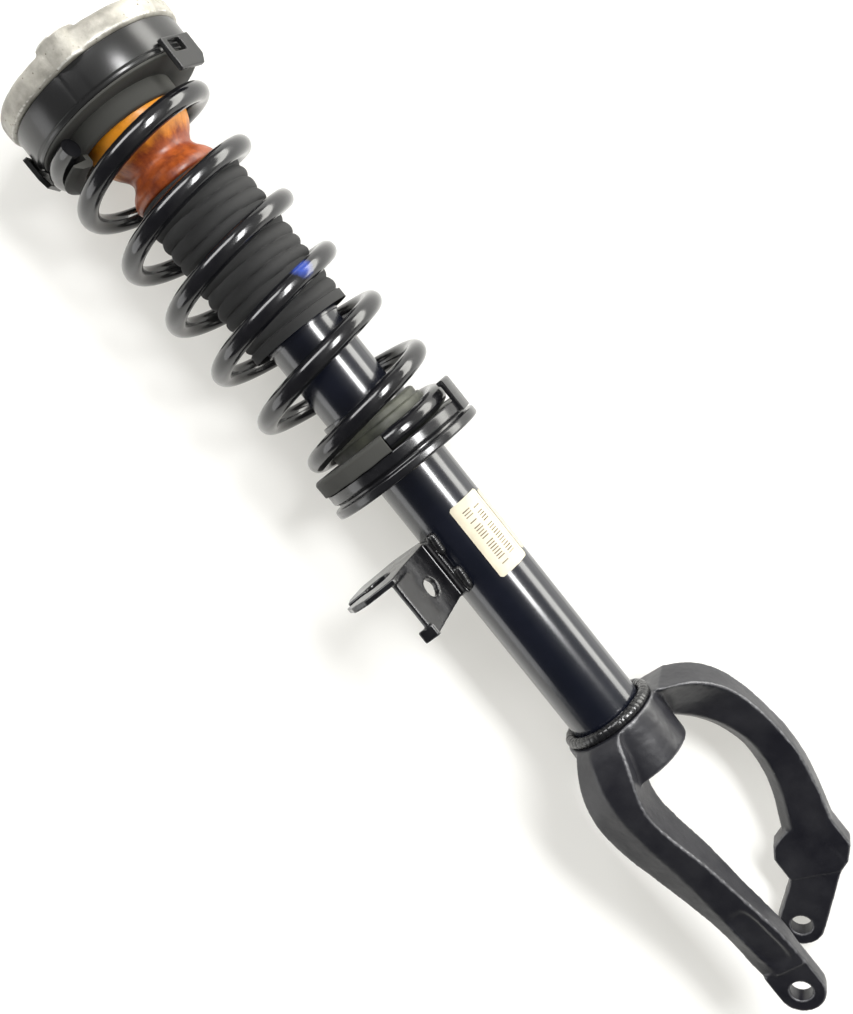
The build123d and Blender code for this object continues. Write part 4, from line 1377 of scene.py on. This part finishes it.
@dataclass
class MainSpring(SubAssembly):
    """The coil spring, laid by one rule from its lower tip to its closed upper end."""

    wire: float = 6.25
    coil: float = 49.6
    end_coil: float = 42.0
    pitch: float = 40.6
    tip_height: float = 437.6
    tip_bearing: float = -1.0
    flat_turn: float = 0.072
    turns: float = 6.892
    lean: float = 7.9
    first_lean: float = 1.0
    rise_first: float = 13.2
    rise_square: float = 11.7
    pitch_turn: float = 1.252
    pitch_height: float = 469.5
    grow_turn: float = 0.692
    grow_length: float = 0.55
    closing_turn: float = 6.072
    closing_drop: float = 22.5
    closing_pull: float = 3.8
    lean_from: float = 450.0
    lean_to: float = 580.0
    daub_bearing: float = 34.0
    daub_height: float = 548.0
    anchor: float = 431.5
    keep: float = 0.644
    wire_sides: int = 32

    def build(self) -> None:
        """Make the spring."""
        out = self.coil + self.wire * 0.8
        spot = on_bearing(self.daub_bearing, out, self.daub_height, sideways(self.lean))
        finish = DottedPaint("spring_coat", (0.002, 0.002, 0.003), (0.006, 0.006, 0.007), (0.14, 0.24),
                             patch=12.0, grain=1.2, relief=0.012, coat=0.35, coat_roughness=0.08,
                             daub_at=tuple(spot))
        recipe = Recipe("spring_recipe")
        wire = recipe.size("Wire radius", self.wire * MM)
        coil = recipe.size("Coil radius", self.coil)
        end_coil = recipe.size("End coil radius", self.end_coil)
        pitch = recipe.size("Pitch", self.pitch)
        turns = recipe.size("Turns", self.turns)
        tip = recipe.size("Tip height", self.tip_height)
        lean = recipe.size("Lean", self.lean)
        count = recipe.size("Stations", round(self.turns * SPRING_STEPS))
        side = on_bearing(-90.0, 1.0 / MM, 0.0)

        def place(share: Wire) -> Wire:
            """Find the wire's centre.

            Args:
                share: Share of the way along the wire.

            Returns:
                The point in metres.
            """
            turn = share * turns
            rising = recipe.math("MAXIMUM", turn - self.flat_turn, 0.0)
            ending = tip + rising * self.rise_first + rising * rising * self.rise_square
            running = self.pitch_height + (turn - self.pitch_turn) * pitch
            full = recipe.math("GREATER_THAN", turn, self.pitch_turn)
            closing = recipe.math("MAXIMUM", turn - self.closing_turn, 0.0)
            height = ending * (1.0 - full) + running * full - closing * closing * self.closing_drop
            grown = recipe.remap(turn, self.grow_turn, self.grow_turn + self.grow_length, soft=True)
            radius = end_coil + (coil - end_coil) * grown - closing * closing * self.closing_pull
            leaning = recipe.remap(height, self.lean_from, self.lean_to, soft=True)
            shift = (leaning * (lean - self.first_lean) + self.first_lean) * MM
            angle = turn * (2.0 * math.pi) + math.radians(LABEL_SIDE + self.tip_bearing)
            return recipe.vector(recipe.math("COSINE", angle) * radius * MM + shift * side.x,
                                 recipe.math("SINE", angle) * radius * MM + shift * side.y, height * MM)

        bar = recipe.swept(recipe.path(count, place), wire, self.wire_sides)
        spring = recipe.run("coil_spring", bar, finish)
        self.place(spring, Body.DAMPER, Slot.SPRING, "main_spring")
        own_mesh(spring)


@dataclass
class DustBoot(SubAssembly):
    """The rubber bellows, with uneven folds."""

    folds: int = 12
    crest: float = 35.4
    valley: float = 32.4
    wall: float = 1.9
    collar: float = 34.8
    collar_length: float = 7.0
    top_plain: float = 2.0
    uneven: float = 2.3
    drawn_in: float = 0.35           # how far the unevenness leans inwards, as a share of its whole swing
    uneven_crest: float = 0.8        # share of the unevenness that reaches the crests
    wave_round: float = 0.9          # how fast the unevenness changes round the boot
    wave_along: float = 75.0         # and for each metre up it
    fold_power: float = 0.62         # under 1 makes broad crests and narrow valleys
    fade_low: float = 0.8            # height over which the folds start and stop
    fade_high: float = 0.4
    keep: float = 0.66
    anchor: float = 634.0
    columns: int = 121               # points round the boot
    rows: int = 401                  # points up the outside and down the inside

    def build(self) -> None:
        """Make the boot."""
        low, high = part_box("dust_boot")
        recipe = Recipe("boot_recipe")
        bottom = recipe.size("Bottom", low.z)
        length = recipe.size("Length", high.z - low.z)
        folds = recipe.size("Folds", self.folds)
        crest = recipe.size("Crest radius", self.crest * MM)
        valley = recipe.size("Valley radius", self.valley * MM)
        collar = recipe.size("Collar radius", self.collar * MM)
        wall = recipe.size("Wall", self.wall * MM)
        uneven = recipe.size("Unevenness", self.uneven * MM)
        seed = recipe.size("Seed", 5)
        sheet = recipe.call("GeometryNodeMeshGrid", {"Size X": 1.0, "Size Y": 1.0, "Vertices X": self.columns,
                                                     "Vertices Y": self.rows}, "Mesh")
        across, along, _ = recipe.parts(recipe.call("GeometryNodeInputPosition", {}))
        angle = (across + 0.5) * (2.0 * math.pi)
        loop = (along + 0.5) * 2.0
        share = 1.0 - recipe.math("ABSOLUTE", loop - 1.0)
        inner = recipe.math("GREATER_THAN", loop, 1.0001)
        fold_start = self.collar_length * MM
        fold_length = length - (self.collar_length + self.top_plain) * MM
        up = share * length
        round_place = recipe.vector(recipe.math("COSINE", angle) * self.wave_round,
                                    recipe.math("SINE", angle) * self.wave_round, up * self.wave_along + seed)
        wobble = recipe.call("ShaderNodeTexNoise", {"Vector": round_place, "Scale": 1.0, "Detail": 2.0}) - 0.5
        phase = (up - fold_start + wobble * uneven * 2.0) / fold_length * folds
        lobe = recipe.math("ABSOLUTE", recipe.math("SINE", phase * math.pi)) ** self.fold_power
        swing = (wobble - self.drawn_in) * uneven * self.uneven_crest
        folded = valley + (crest - valley + swing) * lobe
        fold_end = fold_start + fold_length
        in_folds = (recipe.remap(up, fold_start - self.fade_low * MM, fold_start)
                    * recipe.remap(up, fold_end, fold_end - self.fade_high * MM))
        in_collar = recipe.math("LESS_THAN", up, self.collar_length * MM)
        plain = collar * in_collar + valley * (1.0 - in_collar)
        radius = plain + (folded - plain) * in_folds - wall * inner
        shaped = recipe.call("GeometryNodeSetPosition", {
            "Geometry": sheet, "Position": recipe.vector(recipe.math("COSINE", angle) * radius,
                                                         recipe.math("SINE", angle) * radius, bottom + up)})
        closed = recipe.call("GeometryNodeMergeByDistance", {"Geometry": shaped, "Distance": 1e-6})
        boot = recipe.run("bellows", closed, BOOT_RUBBER)
        turn_outwards(boot)
        self.place(boot, Body.MOUNT, Slot.BOOT, "dust_boot")
        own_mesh(boot)
        self.dress(SEAT_PLASTIC, "boot_ring")


@dataclass
class BumpStop(SubAssembly):
    """The amber foam stop with its waist."""

    shift: float = 2.8
    bore: float = 11.0
    foot: float = 634.5
    head: float = 696.0
    waist: tuple[Point2, ...] = (
        (27.6, 644.6), (24.2, 648.2), (22.4, 651.4), (22.6, 654.2), (24.4, 657.0), (27.4, 660.4),
        (30.2, 664.6), (32.2, 669.2), (33.2, 674.4), (33.3, 680.6), (32.4, 682.4), (29.6, 683.8))

    def build(self) -> None:
        """Make the stop."""
        foot, head = self.foot, self.head
        outline = [(self.bore, head), (self.bore, foot), (27.0, foot), (29.4, foot + 0.6), (30.2, foot + 2.6),
                   (29.9, foot + 6.0), *self.waist, (29.6, head - 1.0), (28.6, head)]
        stop = turned("foam_stop", rounded(outline, 1.3, 3), AMBER_FOAM, centre=sideways(self.shift),
                      steps=120)
        Skin(stop.data).ripple(12.0, 0.5)
        self.place(stop, Body.MOUNT, Slot.FOAM, "bump_stop")


@dataclass
class TopMount(SubAssembly):
    """The cast housing with its bush and inserts, and the spring seat under it."""

    voxel: float = 0.95
    clip_voxel: float = 0.45
    nut_voxel: float = 0.4
    waves: tuple[Point2, ...] = ((9.0, 0.3), (2.6, 0.1))      # size and height of the cast skin's waves
    shift: float = 2.8
    pad_shift: float = 7.6
    stud_circle: float = 51.0
    stud_hole: float = 4.25
    first_lobe: float = -4.0
    lobe_radius: float = 13.5
    face: float = 728.5
    pocket_inner: float = 35.5
    pocket_outer: float = 55.5
    pocket_depth: float = 8.5
    pocket_slope: float = 2.2        # width of the pockets' sloping walls
    lobe_wall: float = 2.0
    rib_count: int = 18
    rib_half: float = 1.6
    seat_radius: float = 59.5
    seat_bottom: float = 691.5
    seat_top: float = 713.0
    cup_radius: float = 34.0
    notch_bearing: float = -15.0
    notch_width: float = 0.9         # degrees
    notch_depth: float = 0.7
    joint_bearing: float = -4.0
    joint_width: float = 0.5         # degrees
    joint_fade: float = 26.0         # degrees over which the sunk side comes back out
    joint_depth: float = 0.45
    flange_inner: float = 35.0
    flange_outer: float = 57.0
    flange_bottom: float = 689.9
    hub_inner: float = 34.2
    hub_outer: float = 40.3
    hub_bottom: float = 678.0
    hub_top: float = 690.4
    lip_inner: float = 36.5
    lip_outer: float = 51.0
    lip_floor: float = 675.0
    lip_start: float = -112.0
    lip_arc: float = 67.0
    bush_inner: float = 10.0
    bush_outer: float = 22.0
    bush_top: float = 729.0
    thread_pitch: float = 1.25
    rod_thread_radius: float = 6.0

    def build(self) -> None:
        """Make the housing, the seat and everything in the middle."""
        housing = recast("mount_casting", self.nodes["mount_housing"], ALUMINIUM, self.voxel, 3)
        skin = Skin(housing.data)
        self.sink_pockets(skin)
        skin.relax(1)
        for cell, height in self.waves:
            skin.ripple(cell, height)
        skin.mark_edges(2, 0.3)
        self.place(housing, Body.MOUNT, Slot.ALUMINIUM, "mount_housing")
        self.build_seat()
        self.build_pad()
        clips = recast("spring_seat_clips", self.nodes["seat_clips"], SEAT_PLASTIC, self.clip_voxel, 3)
        Skin(clips.data).mark_edges(2, 0.5)
        self.place(clips, Body.MOUNT, Slot.PLASTIC, "seat_clips")
        self.build_middle()

    def sink_pockets(self, skin: Skin) -> None:
        """Sink the ribbed pockets between the screw lobes into the top face.

        Args:
            skin: The housing's surface.
        """
        points = skin.points / MM
        centre = sideways(self.shift)
        x, y = points[:, 0] - centre[0], points[:, 1] - centre[1]
        out = np.hypot(x, y)
        bearing = np.degrees(np.arctan2(y, x)) - LABEL_SIDE - self.first_lobe
        from_lobe = np.abs((bearing + 60.0) % 120.0 - 60.0)
        lobe_gap = np.sqrt(np.maximum(out ** 2 + self.stud_circle ** 2
                                      - 2 * out * self.stud_circle * np.cos(np.radians(from_lobe)), 0.0))
        rib_step = 360.0 / self.rib_count
        from_rib = np.abs((bearing + rib_step) % (2 * rib_step) - rib_step) / 180.0 * math.pi * out
        margin = np.minimum.reduce([out - self.pocket_inner, self.pocket_outer - out,
                                    lobe_gap - self.lobe_radius - self.lobe_wall, from_rib - self.rib_half])
        sunk = np.clip(margin / self.pocket_slope, 0.0, 1.0)
        sunk = sunk * sunk * (3 - 2 * sunk)
        top = (points[:, 2] > self.face - 3.0) & (skin.normals()[:, 2] > 0.5)
        skin.points[top, 2] -= (self.pocket_depth * sunk[top]) * MM
        skin.write()

    def build_seat(self) -> None:
        """Make the black seat ring with its parting groove."""
        centre = sideways(self.shift)
        cup, out, low, high = self.cup_radius, self.seat_radius, self.seat_bottom, self.seat_top
        outline = rounded([
            (cup, low), (out - 2.6, low), (out - 1.5, low + 0.9), (out - 1.5, low + 2.4), (out, low + 3.2),
            (out, high), (out - 4, high), (out - 4, high - 6), (cup + 8, high - 6), (cup + 8, high),
            (cup, high)], 0.7, 3)
        seat = turned("spring_seat_ring", outline, SEAT_PLASTIC, centre=centre, steps=360)
        skin = Skin(seat.data)
        points = skin.points / MM
        bearing = np.degrees(np.arctan2(points[:, 1] - centre[1], points[:, 0] - centre[0])) - LABEL_SIDE
        bearing = (bearing + 180.0) % 360.0 - 180.0
        rim = np.hypot(points[:, 0] - centre[0], points[:, 1] - centre[1]) > out - 1.0
        groove = np.exp(-((bearing - self.notch_bearing) / self.notch_width) ** 2)
        past = bearing - self.joint_bearing
        step = 1.0 / (1.0 + np.exp(past / self.joint_width)) * np.exp(-np.abs(past) / self.joint_fade)
        pull = (groove * self.notch_depth + step * self.joint_depth) * rim / out
        skin.points[:, 0] -= (points[:, 0] - centre[0]) * pull * MM
        skin.points[:, 1] -= (points[:, 1] - centre[1]) * pull * MM
        skin.write()
        skin.mark_edges(1, 1.2)
        self.place(seat, Body.MOUNT, Slot.PLASTIC, "upper_spring_seat")

    def build_pad(self) -> None:
        """Make the rubber pad, its hub and the lip under the last coil."""
        centre, leaned = sideways(self.shift), sideways(self.pad_shift)
        flange = turned("coil_cap_flange", rounded([
            (self.flange_inner, self.flange_bottom), (self.flange_outer - 0.4, self.flange_bottom),
            (self.flange_outer, self.flange_bottom + 0.6), (self.flange_outer, self.seat_bottom),
            (self.flange_inner, self.seat_bottom)], 0.4, 2), SEAT_RUBBER, centre=centre)
        hub = turned("coil_cap_hub", rounded([
            (self.hub_inner, self.hub_bottom), (self.hub_outer - 0.9, self.hub_bottom),
            (self.hub_outer, self.hub_bottom + 1.2), (self.hub_outer, self.hub_top),
            (self.hub_inner, self.hub_top)], 0.6, 3), SEAT_RUBBER, centre=leaned)
        lip = turned("coil_cap_lip", rounded([
            (self.lip_inner, 672.6), (39.0, 670.2), (46.0, 670.8), (self.lip_outer, 673.6),
            (self.lip_outer, self.lip_floor), (40.0, self.lip_floor), (40.0, self.lip_floor + 5),
            (self.lip_inner, self.lip_floor + 5)], 0.8, 3), SEAT_RUBBER, centre=leaned, start=self.lip_start,
            arc=self.lip_arc, steps=48)
        pad = merged("coil_cap", [flange, hub, lip])
        self.place(pad, Body.MOUNT, Slot.SEAT_RUBBER, "upper_spring_pad")

    def build_middle(self) -> None:
        """Make the bush, washers, nut and threads in the middle of the mount."""
        bush = turned("rubber_bush", rounded([
            (self.bush_inner, 703.0), (self.bush_outer, 702.0), (self.bush_outer, 728.6), (20.6, 728.8),
            (19.0, 727.0), (15.5, 725.6), (13.0, 727.0), (11.0, 728.9), (self.bush_inner, self.bush_top)],
            0.7, 3), SEAT_RUBBER)
        self.place(bush, Body.MOUNT, Slot.SEAT_RUBBER, "mount_bush")
        nut = recast("lock_nut", self.nodes["rod_nut"], ZINC, self.nut_voxel, 3)
        self.place(nut, Body.MOUNT, Slot.STEEL, "rod_nut")
        self.dress(ZINC, "upper_washer", "lower_washer")
        self.dress(STEEL, "bush_sleeve", "thread_inserts")
        low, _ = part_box("thread_inserts")
        thread = ScrewThread(radius=self.stud_hole, bottom=low.z / MM + 0.6, pitch=self.thread_pitch,
                             turns=12, ridge=0.42, repeats=3, circle=self.stud_circle, first=self.first_lobe,
                             centre=sideways(self.shift))
        self.place(thread.build("insert_threads", STEEL), Body.MOUNT, Slot.STEEL)
        _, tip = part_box("piston_rod")
        rod_thread = ScrewThread(radius=self.rod_thread_radius, bottom=tip.z / MM - 4.4,
                                 pitch=self.thread_pitch, turns=3, ridge=0.35)
        self.place(rod_thread.build("rod_tip_thread", STEEL), Body.MOUNT, Slot.CHROME)


@dataclass
class RodAndPiston(SubAssembly):
    """The rod and the valve parts on it, which keep their CAD shapes."""

    def build(self) -> None:
        """Dress the rod and piston."""
        self.dress(CHROME, "piston_rod")
        self.dress(SINTERED, "piston")
        self.dress(BAND, "piston_band")
        self.dress(STEEL, "rebound_shims", "compression_shims", "piston_nut")
        self.dress(SEAT_RUBBER, "rebound_stop")


# -------------------------------------------------------------------------------- studio
@dataclass(frozen=True)
class SoftBox:
    """An area light that faces the middle of the strut."""

    title: str
    azimuth: float
    elevation: float
    distance: float      # metres
    width: float         # metres
    length: float        # metres
    power: float         # watts
    tint: Colour = (1.0, 1.0, 1.0)

    def build(self, target: Vector) -> None:
        """Hang the light so that it faces the target.

        Args:
            target: The point it faces, in metres.
        """
        data = bpy.data.lights.new(self.title, "AREA")
        data.shape = "RECTANGLE"
        data.size = self.width
        data.size_y = self.length
        data.energy = self.power
        data.color = self.tint
        light = bpy.data.objects.new(self.title, data)
        bpy.context.scene.collection.objects.link(light)
        away = direction(self.azimuth, self.elevation)
        light.location = target + away * self.distance
        light.rotation_mode = "QUATERNION"
        light.rotation_quaternion = away.to_track_quat("Z", "Y")
        light.visible_camera = False


def direction(azimuth: float, elevation: float) -> Vector:
    """Return the direction towards a viewer, where azimuth 0 looks along +Y and 90 along -X."""
    turn, lift = math.radians(azimuth), math.radians(elevation)
    return Vector((math.sin(turn) * math.cos(lift), -math.cos(turn) * math.cos(lift), math.sin(lift)))


@dataclass
class Studio:
    """The camera, the pale floor that the strut lies on, and soft light."""

    azimuth: float = 24.0
    distance: float = 0.8            # metres from the damper axis
    height: float = 0.471            # metres
    lit_height: float = 0.4          # metres, of the point that the lights face
    tilt: float = 5.9
    side_turn: float = 0.55
    roll: float = 51.33              # turn of the view that lays the strut on the slant
    lens: float = 45.44
    sensor: float = 36.0
    floor_lean: float = 1.35
    floor_gap: float = 0.045         # metres from the axis to the floor at the lower bolt
    floor_reach: float = 5.0         # metres
    backdrop: Colour = (0.86, 0.86, 0.85)
    glow: tuple[float, float, float, float] = (0.44, 0.43, 0.40, 1.0)

    def build(self) -> None:
        """Set up the whole studio."""
        self.build_camera()
        self.build_floor()
        self.build_world()
        middle = Vector((0.0, 0.0, self.lit_height))
        for light in (
            SoftBox("window", self.azimuth + 33.0, 4.0, 1.5, 0.30, 1.1, 34.0),
            SoftBox("ceiling", self.azimuth - 8.0, 52.0, 2.2, 1.6, 0.8, 38.0),
            SoftBox("right_wall", self.azimuth + 88.0, 6.0, 1.5, 0.9, 1.8, 42.0, (1.0, 0.99, 0.94)),
            SoftBox("left_wall", self.azimuth - 84.0, 6.0, 1.9, 0.8, 1.8, 11.0),
            SoftBox("rear_fill", self.azimuth + 180.0, 14.0, 2.4, 1.8, 1.8, 40.0),
        ):
            light.build(middle)
        view = bpy.context.scene.view_settings
        view.view_transform = "Standard"
        view.look = "None"

    def build_camera(self) -> None:
        """Set the camera, rolled so that the strut crosses the view on a slant."""
        toward = direction(self.azimuth, 0.0)
        right = direction(self.azimuth + 90.0, 0.0)
        up = Vector((0.0, 0.0, 1.0))
        tilt = math.radians(self.tilt)
        aside = math.tan(math.radians(self.side_turn))
        forward = (-toward * math.cos(tilt) - up * math.sin(tilt) - right * aside).normalized()
        down_strut = (-up + forward * up.dot(forward)).normalized()
        across = down_strut.cross(forward)
        turn = math.radians(self.roll)
        view_right = down_strut * math.cos(turn) + across * math.sin(turn)
        view_up = across * math.cos(turn) - down_strut * math.sin(turn)
        data = bpy.data.cameras.new("camera")
        data.lens = self.lens
        data.sensor_width = self.sensor
        data.sensor_fit = "AUTO"
        data.clip_start = 0.01
        data.clip_end = 50.0
        camera = bpy.data.objects.new("camera", data)
        bpy.context.scene.collection.objects.link(camera)
        place = Matrix((view_right, view_up, -forward)).transposed().to_4x4()
        place.translation = toward * self.distance + up * self.height
        camera.matrix_world = place
        bpy.context.scene.camera = camera

    def build_floor(self) -> None:
        """Lay the floor behind the strut. It shows from the front only."""
        toward = direction(self.azimuth, 0.0)
        right = direction(self.azimuth + 90.0, 0.0)
        lean = math.radians(self.floor_lean)
        along = Vector((0.0, 0.0, 1.0)) * math.cos(lean) - toward * math.sin(lean)
        base = -toward * self.floor_gap
        reach = self.floor_reach
        signs = ((-1, -1), (1, -1), (1, 1), (-1, 1))
        corners = [base + right * x * reach + along * z * reach for x, z in signs]
        mesh = bpy.data.meshes.new("floor")
        mesh.from_pydata([tuple(corner) for corner in corners], [], [(0, 1, 2, 3)])
        floor = bpy.data.objects.new("floor", mesh)
        bpy.context.scene.collection.objects.link(floor)
        if mesh.polygons[0].normal.dot(toward) < 0:
            mesh.flip_normals()
        mesh.materials.append(self.floor_material())
        floor.visible_shadow = False

    def floor_material(self) -> bpy.types.Material:
        """Make the floor's pale sheet, which is clear from behind.

        Returns:
            The new material.
        """
        made = bpy.data.materials.new("pale_sheet")
        made.use_nodes = True
        made.node_tree.nodes.clear()
        board = Board(made.node_tree)
        place = board.call("ShaderNodeTexCoord", {}, "Object")
        shade = board.blend(board.speckle(place, 160.0, 3.0), (0.46, 0.46, 0.45), (0.54, 0.54, 0.53))
        sheet = board.call("ShaderNodeBsdfDiffuse", {"Color": shade, "Roughness": 0.6})
        glow = board.call("ShaderNodeEmission", {"Color": self.glow, "Strength": 1.0})
        sheet = board.call("ShaderNodeAddShader", {0: sheet, 1: glow})
        clear = board.call("ShaderNodeBsdfTransparent", {})
        behind = board.call("ShaderNodeNewGeometry", {}, "Backfacing")
        mixed = board.call("ShaderNodeMixShader", {0: behind, 1: sheet, 2: clear})
        board.feed(board.node("ShaderNodeOutputMaterial").inputs["Surface"], mixed)
        return made

    def build_world(self) -> None:
        """Make a pale backdrop and a dim room that is lighter on the right."""
        world = bpy.data.worlds.new("studio")
        bpy.context.scene.world = world
        world.use_nodes = True
        world.node_tree.nodes.clear()
        board = Board(world.node_tree)
        away = board.call("ShaderNodeTexCoord", {}, "Generated")
        right = tuple(direction(self.azimuth + 90.0, 0.0))
        rightward = board.call("ShaderNodeVectorMath", {0: away, 1: right}, "Value", operation="DOT_PRODUCT")
        room = board.blend(board.remap(rightward, -0.2, 1.0), (0.10, 0.10, 0.105), (0.62, 0.62, 0.58))
        light = board.call("ShaderNodeBackground", {"Color": room, "Strength": 1.0})
        shown = board.call("ShaderNodeBackground", {"Color": (*self.backdrop, 1.0), "Strength": 1.0})
        seen = board.call("ShaderNodeLightPath", {}, "Is Camera Ray")
        mixed = board.call("ShaderNodeMixShader", {0: seen, 1: light, 2: shown})
        board.feed(board.node("ShaderNodeOutputWorld").inputs["Surface"], mixed)


def main() -> None:
    """Load the frame and build every sub-assembly in order, then the studio."""
    logging.basicConfig(level=logging.INFO, format="%(name)s %(message)s")
    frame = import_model()
    nodes = frame["nodes"]
    for group in (LowerFork(nodes), DamperTube(nodes), LinkBracket(nodes), LowerSeat(nodes),
                  MainSpring(nodes), DustBoot(nodes), BumpStop(nodes), TopMount(nodes), RodAndPiston(nodes)):
        LOG.info("building %s", type(group).__name__)
        group.build()
    Studio().build()


if __name__ == "__main__":
    main()
